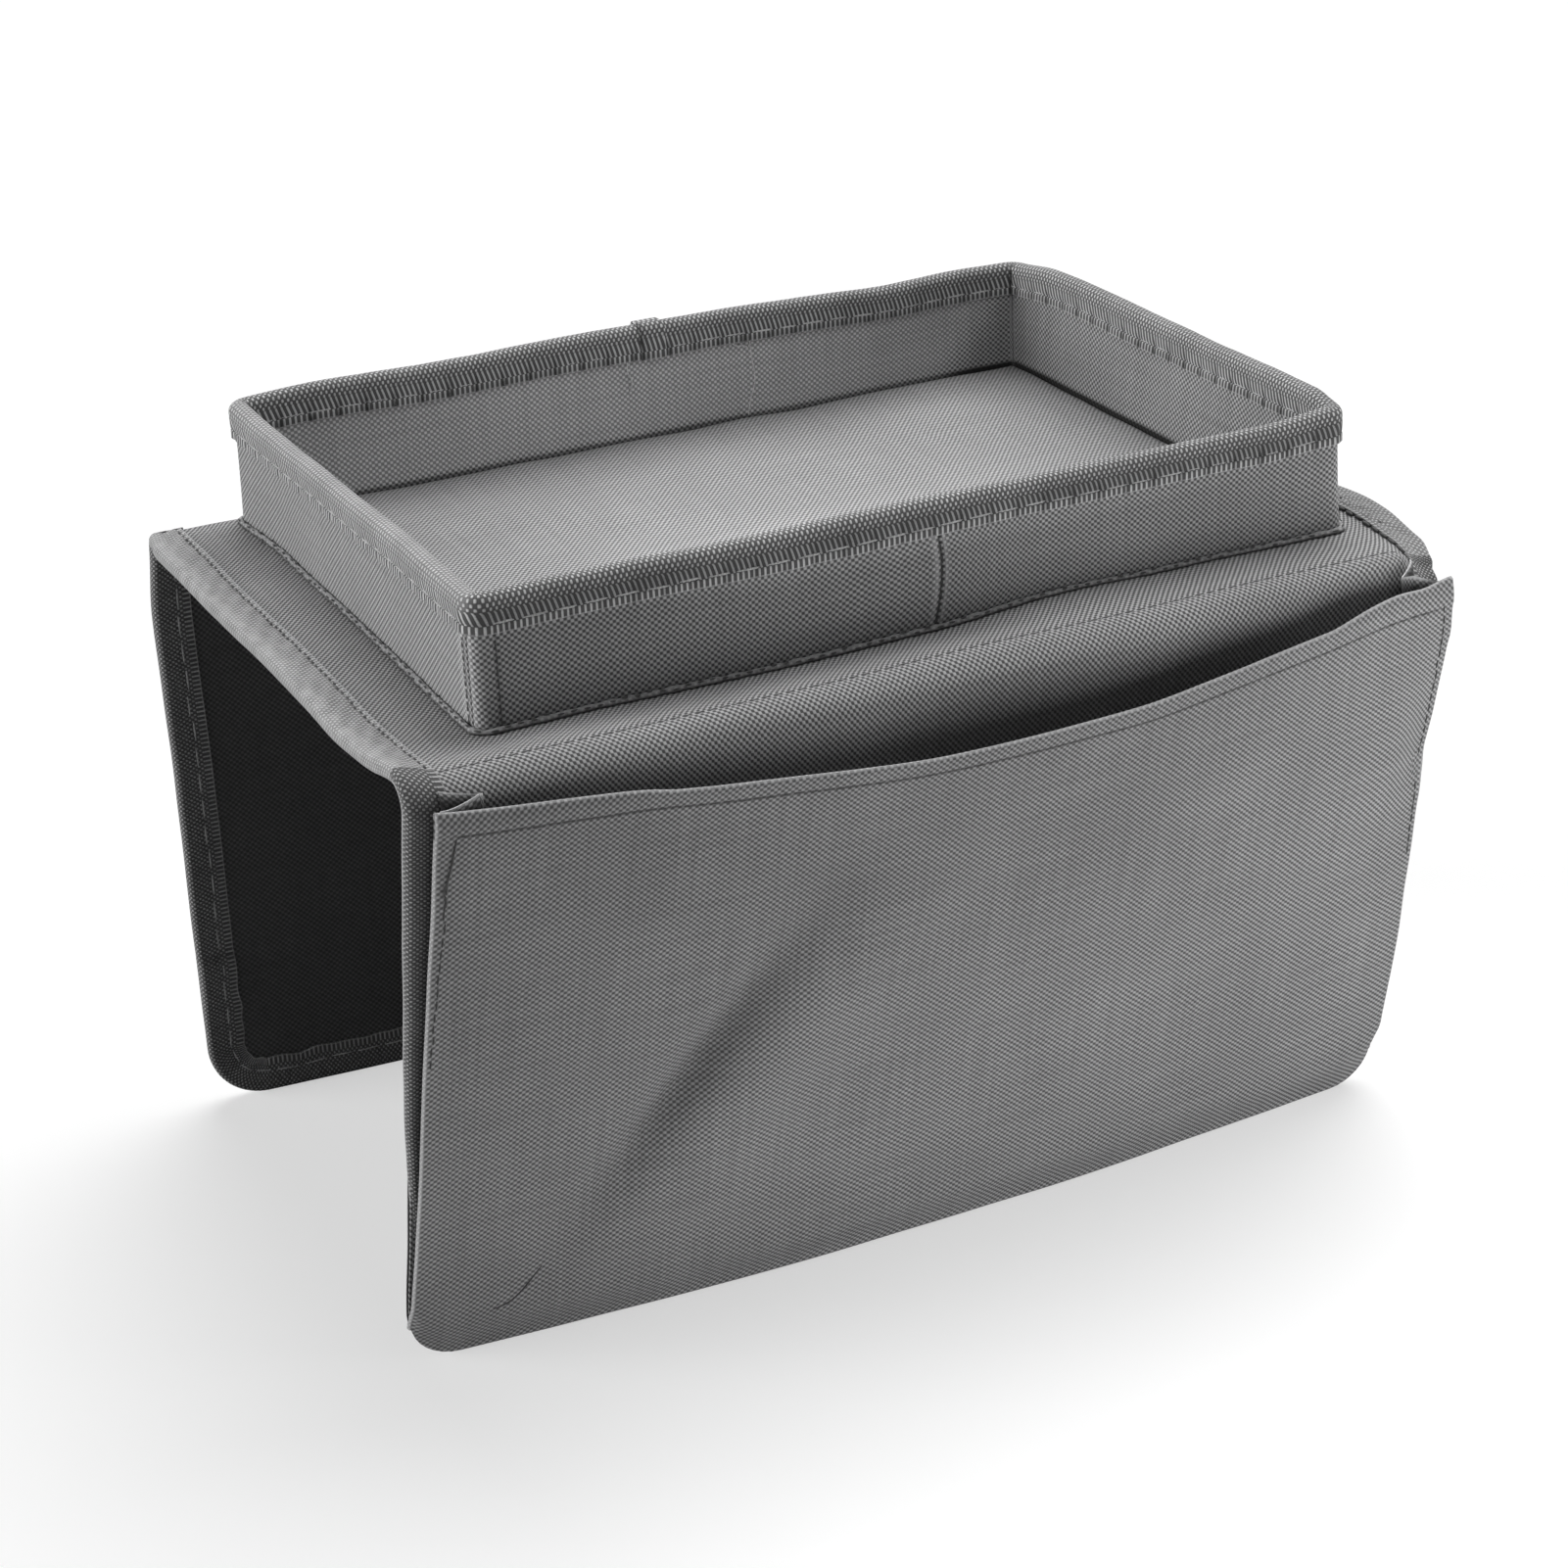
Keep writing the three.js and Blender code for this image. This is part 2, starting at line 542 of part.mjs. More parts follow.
function pocketPanel(surface, outline) {
  const place = (across, down) => pocketPoint(surface, outline, across, down);
  const panelOutline = flapOutline(surface.length, lowerInset, frontCornerRadiusLeft, frontCornerRadiusRight);
  const columns = panelOutline.columns.map((x) => (x - saddleMiddle) / (saddleLength / 2 - lowerInset));
  const length = pocketPlace(surface, outline, 0, 1).belowMouth;
  const shoulderEnd = mouthRise / length;
  const hemEnd = hemHeight / length;
  const hemRest = (hemHeight + hemStep) / length;
  const turnIn = 1 - seamHeight / length;
  const hemRows = [0, shoulderEnd / 2, shoulderEnd, hemEnd];
  const plainRows = [
    ...steps(panelFacets, hemRest, turnIn),
    ...steps(cornerFacets, turnIn, 1).slice(1),
  ];
  const row = (down, backing) =>
    columns.map((across) => ({ ...surfacePoint(place, across, down, surface.facing), backing }));
  const grid = [...hemRows.map((down) => row(down, clothThickness)), ...plainRows.map((down) => row(down, 0))];
  addPiece("front_pocket_panel", sheet(grid, 0, clothThickness), panelCloth);
}

// A pocket gusset: a strip sewn between the flap's side and the panel's side, folded inwards on a crease.
// Its share runs from 0 at the flap along one leg, round the crease and along the other leg to 1 at the panel.
function pocketGusset(surface, outline, left) {
  const inwards = left ? 1 : -1;
  const edge = left ? -1 : 1;
  const length = pocketPlace(surface, outline, edge, 1).belowMouth;
  const foot = 1 - gussetFootHeight / length;
  const shoulderEnd = mouthRise / length / foot;
  const halfFold = clothThickness / 2;
  const legShare = 1 / 3;
  const place = (share, down) => {
    const panel = pocketPlace(surface, outline, edge, down * foot);
    const hem = clothThickness * (1 - THREE.MathUtils.smoothstep(panel.belowMouth, hemHeight, 3 * hemHeight));
    const flapSide = tapeOutside + clearance + halfFold;
    const panelSide = panel.standOff - hem - clearance - halfFold;
    const radius = (panelSide - flapSide) / 2;
    const depth = THREE.MathUtils.lerp(pleatDepth, pleatFootDepth, down);
    const leg = Math.min(share, 1 - share, legShare) / legShare;
    const turn = Math.PI * THREE.MathUtils.clamp((share - legShare) / (1 - 2 * legShare), 0, 1);
    const reach = pleatSetback + (depth - radius) * leg + radius * Math.sin(turn);
    const { point, normal } = surface.at(panel.x + inwards * reach, panel.along);
    return point.addScaledVector(normal, flapSide + radius * (1 - Math.cos(turn)));
  };
  const rows = [...steps(2, 0, shoulderEnd), ...steps(panelFacets, shoulderEnd, 1).slice(1)];
  const columns = [
    ...steps(legFacets, 0, legShare),
    ...steps(creaseFacets, legShare, 1 - legShare).slice(1, -1),
    ...steps(legFacets, 1 - legShare, 1),
  ];
  const grid = rows.map((down) => columns.map((share) => surfacePoint(place, share, down, 1)));
  addPiece(`front_pocket_gusset_${left ? "left" : "right"}`, sheet(grid, -halfFold, halfFold), panelCloth);
}

// Pocket on the front flap: a panel with a hemmed mouth, and a folded gusset at each side
function frontPocket(surface) {
  const outline = flapOutline(surface.length, 0, frontCornerRadiusLeft, frontCornerRadiusRight);
  pocketPanel(surface, outline);
  for (const left of [true, false]) pocketGusset(surface, outline, left);
}

const frontSurface = flapSurface(frontFold, -1, frontShoulderRadius, frontLean, frontBow);
topPanel();
tray();
frontFlap(frontSurface);
frontPocket(frontSurface);
rearFlap();

// The part stands on its lower edges, over the middle of the floor it covers.
const reach = new THREE.Box3().setFromObject(saddle, true);
const middle = reach.getCenter(new THREE.Vector3());
saddle.position.set(-middle.x, -middle.y, -reach.min.z);

const armrestTray = new THREE.Group();
armrestTray.add(saddle);
export default armrestTray;
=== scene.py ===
from math import ceil, cos, exp, pi, radians, sin, sqrt

import bmesh
import bpy
from mathutils import Matrix, Vector, noise


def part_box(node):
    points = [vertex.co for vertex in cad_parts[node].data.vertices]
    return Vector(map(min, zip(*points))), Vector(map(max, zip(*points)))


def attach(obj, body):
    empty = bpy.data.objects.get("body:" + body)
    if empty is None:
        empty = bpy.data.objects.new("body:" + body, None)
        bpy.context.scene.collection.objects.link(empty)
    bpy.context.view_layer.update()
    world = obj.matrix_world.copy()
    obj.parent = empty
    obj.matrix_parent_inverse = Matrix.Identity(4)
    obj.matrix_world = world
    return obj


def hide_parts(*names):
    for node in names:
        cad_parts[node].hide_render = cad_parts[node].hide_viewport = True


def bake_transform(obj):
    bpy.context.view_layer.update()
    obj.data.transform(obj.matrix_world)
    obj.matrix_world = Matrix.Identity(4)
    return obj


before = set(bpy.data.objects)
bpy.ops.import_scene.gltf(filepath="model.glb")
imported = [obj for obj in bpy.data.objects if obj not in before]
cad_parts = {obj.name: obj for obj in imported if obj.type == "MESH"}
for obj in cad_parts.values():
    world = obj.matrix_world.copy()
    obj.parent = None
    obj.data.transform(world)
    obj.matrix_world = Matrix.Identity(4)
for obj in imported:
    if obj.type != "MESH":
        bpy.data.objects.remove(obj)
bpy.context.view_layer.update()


def add_object(name, data):
    added = bpy.data.objects.new(name, data)
    bpy.context.scene.collection.objects.link(added)
    return added


# ----------------------------------------------------------------------
# Camera. It stands off the tray's left front corner, a little above the rim, behind a long lens, so
# that the pocket, the left end and the inside of the tray all show.
camera_data = bpy.data.cameras.new("camera")
camera_data.lens, camera_data.sensor_width, camera_data.clip_end = 83.36, 36, 30
camera = add_object("camera", camera_data)
bpy.context.scene.camera = camera
looking_back = Vector((-0.39552, -0.82046, 0.41281)).normalized()
level_right = Vector((0, 0, 1)).cross(looking_back).normalized()
camera_turn = Matrix((level_right, looking_back.cross(level_right), looking_back)).transposed().to_4x4()
camera_tilt = Matrix.Rotation(-0.0422785, 4, "Z")
camera.matrix_world = Matrix.Translation((-0.4849, -0.9929, 0.6289)) @ camera_turn @ camera_tilt

# ----------------------------------------------------------------------
# Top panel. A rectangle of woven polyester lies over a thin board and a lining whose darker tone is painted
# shade. The tray stands on it, and the two flaps fold down from its long sides at a line of stitching.
# Sizes are in millimetres, from the middle of the tray and the upper face of this panel.
left_end, right_end = -185.0, 172.0
saddle_length = right_end - left_end
saddle_middle = (left_end + right_end) / 2
front_fold, rear_fold = -126.0, 103.4
cloth_thick, board_thick, saddle_thick = 0.7, 1.2, 3.2
board_depth, board_inset = 1.0, 4.0
lining_setback = 3.6
tray_height = 40.0
tray_low, tray_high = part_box("tray_rim_tape")
panel_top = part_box("top_panel_cloth")[1].z
tray_middle = Vector(((tray_low.x + tray_high.x) / 2, (tray_low.y + tray_high.y) / 2, panel_top))


def ease(value, low, high):
    """0 below low, 1 above high and smooth between them."""
    share = min(max((value - low) / (high - low), 0.0), 1.0)
    return share * share * (3 - 2 * share)


def between(value, low, risen, fall, high):
    """0 below low and above high, 1 from risen to fall."""
    return ease(value, low, risen) * (1 - ease(value, fall, high))


def dip(distance, depth=0.4, reach=0.7):
    return depth * exp(-((distance / reach) ** 2))


def lerp(start, stop, share):
    return start + (stop - start) * share


def settled(point):
    """Where the sewn piece really lies. The tray's rim bows and its corners are full, the right end of the front
    fold droops, and every surface has the slow unevenness of handled cloth."""
    x, y, z = point
    up = min(max(z / tray_height, 0.0), 1.0)
    low = (1 - up) * (1 - ease(-z, 0, 90))
    right, left, rear = ease(x, 120, 146), ease(-x, 120, 148), ease(y, 70, 100)
    bow = max(1 - (x / 150) ** 2, 0)
    # The rim
    to_right = 3.6 * up * max(1 - (y / 103) ** 2, 0) * right
    to_rear = up * (dip(x - 122, 3.0, 18) * ease(y, 80, 100) - 0.9 * bow * ease(-y, 80, 100))
    lift = up * rear * (2.4 * bow - dip(x - 95, 1.6, 35) + dip(x + 125, 2.0, 40))
    lift += up * right * (2.2 * ease(-y, -103, -74) + 1.5 * ease(-y, 10, 80)) * (1 - 0.6 * ease(-y, 85, 103))
    lift += 0.35 * up * sin(x / 17) * sin(y / 29 + 0.4)
    # The corners of the walls
    to_right += (3.0 - 2.2 * up) * right * ease(-y, 60, 100) * (1 - ease(x, 151, 168)) * ease(z, -6, 0)
    to_right -= (2.4 - up) * left * ease(y, 60, 100) * (1 - ease(-x, 151, 168)) * ease(z, -6, 0)
    # The right end of the front fold
    near_end = ease(x, 150, 172)
    droop = 2.9 * ease(-y, 98, 122) + 3.2 * ease(-y, 117, 128)
    lift += (dip(y + 88, 1.7, 20) - droop * (1 - 0.65 * ease(-y, 132, 140))) * near_end * low
    to_rear += 5.0 * near_end * between(-y, 126, 133, 136, 142)
    to_right -= 2.5 * near_end * between(-y, 118, 130, 134, 140) * (1 - up)
    # The pocket's right side, which stands out past the flap behind it
    off_flap = -y - 135 - 0.216 * max(-z - 11, 0)
    to_right += 1.9 * ease(-z, 5, 50) * ease(x, 140, 172) * max(ease(off_flap, 1, 4.5), ease(-z, 110, 170))
    # The panel, which sinks before the tray's front wall and beside its left one
    sunk = (2.2 + 0.8 * ease(-x, 110, 150)) * (1 - ease(x, 0, 38)) - dip(x - 52, 1.4, 22)
    sunk *= between(y, -126, -107, -100, -85) * ease(x, -180, -156)
    beside = 3.0 * ease(-y, -10, 100) * between(x, -180, -156, -147, -134) * ease(y, -126, -106)
    sunk = max(sunk, beside) if beside > 0 else sunk
    lift += (dip(y + 126, 3.0, 14) * ease(-x, 172, 185) - dip(y + 80, 1.6, 22) * ease(-x, 160, 180) - sunk) * low
    to_right += 2.0 * ease(-x, 170, 185) * ease(y, 90, 104) * (1 - ease(-z, 0, 30))
    point = Vector(point)
    slow = noise.noise_vector(point / 62) * 0.7 + noise.noise_vector(point / 24) * 0.22
    slow.z *= 1 - ease(-z, 185, 205)
    return point + Vector((to_right, to_rear, lift)) + slow


def set_down(point):
    return tray_middle + settled(point) / 1000


def even(start, stop, spacing):
    """Values from start to stop, no further apart than spacing."""
    count = max(ceil(abs(stop - start) / spacing), 1)
    return [start + (stop - start) * i / count for i in range(count + 1)]


def run(start, *stretches):
    """Values from start on through stretches, each given by its end and its spacing."""
    values = [start]
    for stop, spacing in stretches:
        values += even(values[-1], stop, spacing)[1:]
    return values


def with_seam(values, *seams):
    """The same values, with close ones beside each seam so that the cloth can dip there."""
    kept = [v for v in values if all(abs(v - s) > 1.9 for s in seams) or v in (values[0], values[-1])]
    near = [s + d for s in seams for d in (-1.3, -0.65, 0.0, 0.65, 1.3)]
    near = [v for v in near if min(values) < v < max(values)]
    return sorted(set(kept + near), reverse=values[0] > values[-1])


def hand_over(name, mesh, material, smooth=True):
    """Turns the finished bmesh into an object."""
    data = bpy.data.meshes.new(name)
    for face in mesh.faces:
        face.smooth = smooth
    mesh.to_mesh(data)
    mesh.free()
    data.materials.append(material)
    return add_object(name, data)


def lay_cloth(node, slot, body, across, along, place, material, thick=cloth_thick, turn_over=False, joined=False,
              tube=False, painted_light=None, pattern=None, **sheet):
    """Cuts a flat sheet with its grid at these values, then lays each of its points where place(u, v) says.
    The map "cut" is the place on the flat cloth, in metres, for the weave: (u, v), or pattern(u, v) where the
    grid isn't square on the cloth. The function for each point's painted light gives painted highlights above 0,
    mostly on folded edges, and painted shade below 0, in seams, creases, corners and recesses; on the left end
    tape it also carries a paler band and a random unevenness of tone.
    The sheet stands for the CAD piece node and rides a body, or is handed to body where that is a function,
    which bakes its place into its mesh."""
    mesh = bmesh.new()
    cut = mesh.loops.layers.uv.new("cut")
    painted_layer = mesh.verts.layers.float.new("painted_light")
    last_u, last_v = len(across) - 1, len(along) - 1
    bmesh.ops.create_grid(mesh, x_segments=last_u, y_segments=last_v, size=1)
    for corner in mesh.verts:
        u = across[round((corner.co.x + 1) / 2 * last_u)]
        v = along[round((corner.co.y + 1) / 2 * last_v)]
        on_cloth = pattern(u, v) if pattern else (u, v)
        for loop in corner.link_loops:
            loop[cut].uv = (on_cloth[0] / 1000, on_cloth[1] / 1000)
        corner.co = set_down(place(u, v))
        corner[painted_layer] = painted_light(u, v) if painted_light else 0.0
    if joined or tube:
        bmesh.ops.remove_doubles(mesh, verts=mesh.verts, dist=1e-6)
    if tube:
        bmesh.ops.holes_fill(mesh, edges=[edge for edge in mesh.edges if edge.is_boundary])
        bmesh.ops.recalc_face_normals(mesh, faces=mesh.faces)
    if turn_over:
        bmesh.ops.reverse_faces(mesh, faces=mesh.faces)
    for edge in mesh.edges:
        if edge.is_boundary:
            edge.smooth = False
    made = "folded" if tube else {"stiff_board": "cut", "binding_tape": "ribbed"}.get(slot, "woven")
    piece = hand_over(f"{node}_{made}", mesh, material)
    if not tube:
        wall = piece.modifiers.new("thickness", "SOLIDIFY")
        wall.thickness, wall.offset = thick / 1000, -1
    if callable(body):
        body(piece)
    else:
        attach(piece, body)
    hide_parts(node)


class Nodes:
    """Short ways to add nodes to a tree and link them."""

    def __init__(self, tree):
        self.tree = tree

    def fill(self, node, inputs):
        for socket, value in inputs.items():
            if isinstance(value, bpy.types.NodeSocket):
                self.tree.links.new(value, node.inputs[socket])
            else:
                node.inputs[socket].default_value = value
        return node

    def add(self, kind, inputs, **settings):
        node = self.tree.nodes.new("ShaderNode" + kind)
        for key, value in settings.items():
            setattr(node, key, value)
        return self.fill(node, inputs).outputs

    def maths(self, operation, a, b=0.0):
        return self.add("Math", {0: a, 1: b}, operation=operation)[0]

    def plus(self, a, b):
        return self.maths("ADD", a, b)

    def times(self, a, b):
        return self.maths("MULTIPLY", a, b)

    def vector(self, operation, a, b):
        return self.add("VectorMath", {0: a, 3 if operation == "SCALE" else 1: b}, operation=operation)[0]

    def grain(self, where, scale, detail, output="Fac"):
        return self.add("TexNoise", {"Vector": where, "Scale": scale, "Detail": detail})[output]

    def ramp(self, value, low, high, to=(0.0, 1.0), kind="LINEAR"):
        inputs = {"Value": value, "From Min": low, "From Max": high, "To Min": to[0], "To Max": to[1]}
        return self.add("MapRange", inputs, interpolation_type=kind)["Result"]


def start_group(name, inputs):
    """A group with these inputs, None for a vector and four values for a colour. It gives a colour and a height."""
    group = bpy.data.node_groups.new(name, "ShaderNodeTree")
    for label, value in inputs.items():
        kind = "Vector" if value is None else "Color" if isinstance(value, tuple) else "Float"
        socket = group.interface.new_socket(name=label, in_out="INPUT", socket_type="NodeSocket" + kind)
        if value is not None:
            socket.default_value = value
    group.interface.new_socket(name="Color", in_out="OUTPUT", socket_type="NodeSocketColor")
    group.interface.new_socket(name="Height", in_out="OUTPUT", socket_type="NodeSocketFloat")
    return group, Nodes(group), group.nodes.new("NodeGroupInput").outputs


def finish_group(nodes, given, raised, brightness, height):
    """Colours the raised threads and the gaps between them. Painted light above 0 fills the gaps and pales them as a
    painted highlight; below 0 it darkens as painted shade.
    """
    painted_light = nodes.plus(nodes.times(nodes.maths("MINIMUM", given["Painted Light"], 0.0), 0.7), nodes.times(given["Painted Light"], 0.3))
    filled = nodes.maths("MAXIMUM", raised, given["Painted Light"])
    colour = nodes.add("Mix", {"Factor": filled, 6: given["Gap"], 7: given["Top"]}, data_type="RGBA")[2]
    colour = nodes.vector("SCALE", colour, nodes.plus(brightness, painted_light))
    nodes.fill(nodes.tree.nodes.new("NodeGroupOutput"), {"Color": colour, "Height": height})


# Plain weave of thick twisted yarns: each yarn comes up over its neighbour in turn, so the light tops lie
# like a chequerboard, with dark gaps between them; the light of the tops and the dark of the gaps are partly
# painted light and shade. Yarns differ a little from one another. The slant is how much more one diagonal of
# the weave catches the light, at the left end and at the right end.
weave_inputs = {
    "Vector": None, "Yarn Across": 0.00107, "Yarn Along": 0.00099, "Top": (0.4, 0.4, 0.4, 1), "Gap": (0.1, 0.1, 0.1, 1),
    "Unevenness": 0.3, "Slant Left": 0.0, "Slant Right": 0.0, "Painted Light": 0.0,
}
plain_weave, weave, given = start_group("plain weave", weave_inputs)
wander = weave.vector("SUBTRACT", weave.grain(given["Vector"], 55.0, 1.0, "Color"), (0.5, 0.5, 0.5))
on_yarns = weave.add("SeparateXYZ", {0: weave.vector("ADD", given["Vector"], weave.vector("SCALE", wander, 0.0006))})
turn_u = weave.maths("DIVIDE", weave.times(on_yarns["X"], pi), given["Yarn Across"])
turn_v = weave.maths("DIVIDE", weave.times(on_yarns["Y"], pi), given["Yarn Along"])
along_saddle = weave.add("SeparateXYZ", {0: given["Vector"]})["X"]
slant = weave.ramp(along_saddle, left_end / 1000, right_end / 1000, (given["Slant Left"], given["Slant Right"]))
slant = weave.times(weave.maths("COSINE", weave.maths("SUBTRACT", turn_u, turn_v)), slant)
over_under = weave.plus(weave.times(weave.maths("SINE", turn_u), weave.maths("SINE", turn_v)), slant)
raised = weave.ramp(over_under, -0.65, 0.8, kind="SMOOTHSTEP")
along_each_yarn = (900, 16, 0), (16, 900, 0)
streaks = [weave.grain(weave.vector("MULTIPLY", given["Vector"], way), 1.0, 1.0) for way in along_each_yarn]
fibre = weave.grain(given["Vector"], 2600.0, 2.0)
cloudy = weave.grain(given["Vector"], 22.0, 3.0)
uneven = weave.plus(weave.plus(*streaks), weave.plus(fibre, cloudy))
uneven = weave.times(weave.maths("SUBTRACT", uneven, 2.0), given["Unevenness"])
finish_group(weave, given, raised, weave.plus(uneven, 1.0), weave.plus(raised, weave.times(fibre, 0.25)))


def new_finish(name):
    material = bpy.data.materials.new(name)
    material.use_nodes = True
    nodes = Nodes(material.node_tree)
    return material, nodes, nodes.tree.nodes["Principled BSDF"]


def threaded_finish(name, group, inputs, strength, bump, roughness, specular):
    """A finish that has its colour and relief from one of the groups, by the place on the flat cloth."""
    material, nodes, shader = new_finish(name)
    inputs["Vector"] = nodes.add("UVMap", {}, uv_map="cut")["UV"]
    inputs["Painted Light"] = nodes.add("Attribute", {}, attribute_name="painted_light")["Fac"]
    threads = nodes.add("Group", inputs, node_tree=group)
    relief = nodes.add("Bump", {"Strength": strength, "Distance": bump, "Height": threads["Height"]})["Normal"]
    looks = {"Base Color": threads["Color"], "Normal": relief, "Roughness": roughness, "Specular IOR Level": specular}
    nodes.fill(shader, {**looks, "Sheen Weight": 0.1, "Sheen Roughness": 0.5})
    return material


def woven_cloth(name, tone, contrast=0.72, bump=0.00018, yarns=(1.075, 0.99), slant=(0.0, 0.0)):
    """A cloth finish whose average colour is tone, with its yarns this far apart in millimetres."""
    tint = Vector(tone)
    inputs = {
        "Yarn Across": yarns[0] / 1000, "Yarn Along": yarns[1] / 1000, "Slant Left": slant[0], "Slant Right": slant[1],
        "Top": (*(tint * (1 + contrast)), 1), "Gap": (*(tint * (1 - contrast)), 1),
    }
    return threaded_finish(name, plain_weave, inputs, 0.8, bump, 0.82, 0.3)


def flecked_finish(name, dark, light, ends, fleck_scale, fleck_detail, roughness, relief=0.0):
    """A finish whose fine fleck runs from dark to light between these two values of the noise."""
    material, nodes, shader = new_finish(name)
    fleck = nodes.grain(nodes.add("TexCoord", {})["Object"], fleck_scale, fleck_detail)
    ramp = nodes.fill(nodes.tree.nodes.new("ShaderNodeValToRGB"), {"Fac": fleck})
    for element, position, colour in zip(ramp.color_ramp.elements, ends, (dark, light)):
        element.position, element.color = position, (*colour, 1)
    nodes.fill(shader, {"Base Color": ramp.outputs["Color"], "Roughness": roughness})
    if relief:
        bump = nodes.add("Bump", {"Strength": 0.4, "Distance": relief, "Height": fleck})
        nodes.fill(shader, {"Normal": bump["Normal"]})
    return material


panel_cloth = woven_cloth("panel_cloth", (0.285, 0.285, 0.288), yarns=(0.98, 1.15), slant=(0.2, 0.2))
# The lining's tone is set far below the panel's cloth as painted shade for the dark space under the saddle.
lining_cloth = woven_cloth("lining_cloth", (0.088, 0.088, 0.089), contrast=0.65, bump=0.0001)
# Dense fibreboard inside the layers, grey-black with a fine fleck. It only shows where a layer gapes.
board_dark, board_light = (0.02, 0.02, 0.021), (0.075, 0.073, 0.07)
stiff_board = flecked_finish("stiff_board", board_dark, board_light, (0.35, 0.7), 900.0, 4.0, 0.6, relief=0.0001)

lay_cloth(
    "top_panel_cloth", "panel_cloth", "tray_and_top",
    even(left_end, right_end, 3.4),
    with_seam(even(front_fold, rear_fold, 3.4), front_fold + 0.1),
    lambda x, y: (x, y, -dip(y - front_fold, 0.35, 0.8)),
    panel_cloth,
    flat=(0.357, 0.2294), held="laid", rests_on=["top_panel_board_cut"],
)
inside_front, inside_rear = front_fold + lining_setback, rear_fold - lining_setback
lay_cloth(
    "top_panel_board", "stiff_board", "tray_and_top",
    even(left_end + board_inset, right_end - board_inset, 6),
    even(inside_front, inside_rear, 6),
    lambda x, y: (x, y, -board_depth),
    stiff_board, board_thick,
)
lay_cloth(
    "top_panel_lining", "lining_cloth", "tray_and_top",
    even(left_end, right_end, 4),
    even(inside_front, inside_rear, 4),
    lambda x, y: (x, y, -saddle_thick),
    lining_cloth, turn_over=True,
    flat=(0.357, 0.2222), held="laid", rests_on=["top_panel_board_cut"],
)

# ----------------------------------------------------------------------
# End tapes of the top panel. Ribbed polyester binding tape is folded over each end of the panel, half
# above and half below, and sewn through all the layers with stitches.
tape_leg, tape_outside, fold_round = 12.0, 1.0, 1.8

# Binding tape: a coarse basket weave in the middle, and at each edge a selvedge whose ribs run square to
# the edge. The tape's map runs along it and across it, and Width is how wide it was before folding.
# The dark of the gaps between the tape's threads is partly painted shade.
tape_inputs = {
    "Vector": None, "Width": 0.03, "Rib": 0.0012, "Top": (0.4, 0.4, 0.4, 1), "Gap": (0.05, 0.05, 0.05, 1),
    "Selvedge": 0.0019, "Ribbed Part": 0.0, "Painted Light": 0.0,
}
ribbed_tape, tape, given = start_group("ribbed tape", tape_inputs)
tape_uv = tape.add("SeparateXYZ", {0: given["Vector"]})
along_tape = tape.maths("DIVIDE", tape.times(tape_uv["X"], pi), given["Rib"])
across_tape = tape.maths("DIVIDE", tape.times(tape_uv["Y"], 0.8 * pi), given["Rib"])
slanted = tape.maths("SINE", tape.plus(along_tape, tape.times(across_tape, 0.45)))
ribs = tape.maths("SINE", along_tape)
beads = tape.times(ribs, tape.maths("SINE", across_tape))
from_edge = tape.maths("MINIMUM", tape_uv["Y"], tape.maths("SUBTRACT", given["Width"], tape_uv["Y"]))
inner_part = tape.ramp(from_edge, given["Selvedge"], tape.plus(given["Selvedge"], 0.0003))
beyond = tape.plus(given["Selvedge"], given["Ribbed Part"])
beaded = tape.ramp(from_edge, tape.maths("SUBTRACT", beyond, 0.0008), beyond)
beads = tape.plus(tape.times(beads, beaded), tape.times(slanted, tape.maths("SUBTRACT", 1.0, beaded)))
threads = tape.plus(tape.times(beads, inner_part), tape.times(ribs, tape.maths("SUBTRACT", 1.0, inner_part)))
threads = tape.maths("MAXIMUM", threads, tape.times(tape.ramp(from_edge, 0.0005, 0.0002), 0.35))
raised = tape.ramp(threads, -0.2, 0.75, kind="SMOOTHSTEP")
uneven = tape.plus(tape.grain(given["Vector"], 2200.0, 2.0), tape.grain(given["Vector"], 60.0, 2.0))
finish_group(tape, given, raised, tape.plus(tape.times(uneven, 0.5), 0.5), raised)


def binding_tape(name, width, top, gap, rib=0.91, selvedge=1.9, ribbed=0.0, bump=0.0005):
    """A tape finish. Its width, rib, selvedge and the ribbed part beside that are in millimetres."""
    inputs = {
        "Width": width / 1000, "Rib": rib / 1000, "Selvedge": selvedge / 1000, "Ribbed Part": ribbed / 1000,
        "Top": (top, top, top * 1.01, 1), "Gap": (gap, gap, gap, 1),
    }
    return threaded_finish(name, ribbed_tape, inputs, 0.9, bump, 0.75, 0.35)


def tape_across(leg=tape_leg, thickness=saddle_thick, radius=fold_round):
    """The places across a tape where its two rounded bends start and stop, and its whole width."""
    straight = leg - (radius - tape_outside)
    bend = radius * pi / 2
    flat = thickness + 2 * tape_outside - 2 * radius
    return straight, straight + bend, straight + bend + flat, straight + 2 * bend + flat, 2 * straight + 2 * bend + flat


def folded_over(v, leg=tape_leg, thickness=saddle_thick, radius=fold_round):
    """The tape's outer face where it is folded over an edge: how far inwards from the edge, and how far out
    from the outer face, for a place v across the tape."""
    a, b, c, d, _ = tape_across(leg, thickness, radius)
    sink = radius - tape_outside
    if v <= a:
        return sink + a - v, tape_outside
    if v <= b:
        angle = (v - a) / radius
        return sink - radius * sin(angle), -sink + radius * cos(angle)
    if v <= c:
        return -tape_outside, -sink - (v - b)
    if v <= d:
        angle = (v - c) / radius
        return sink - radius * cos(angle), -sink - (c - b) - radius * sin(angle)
    return sink + v - d, -thickness - tape_outside


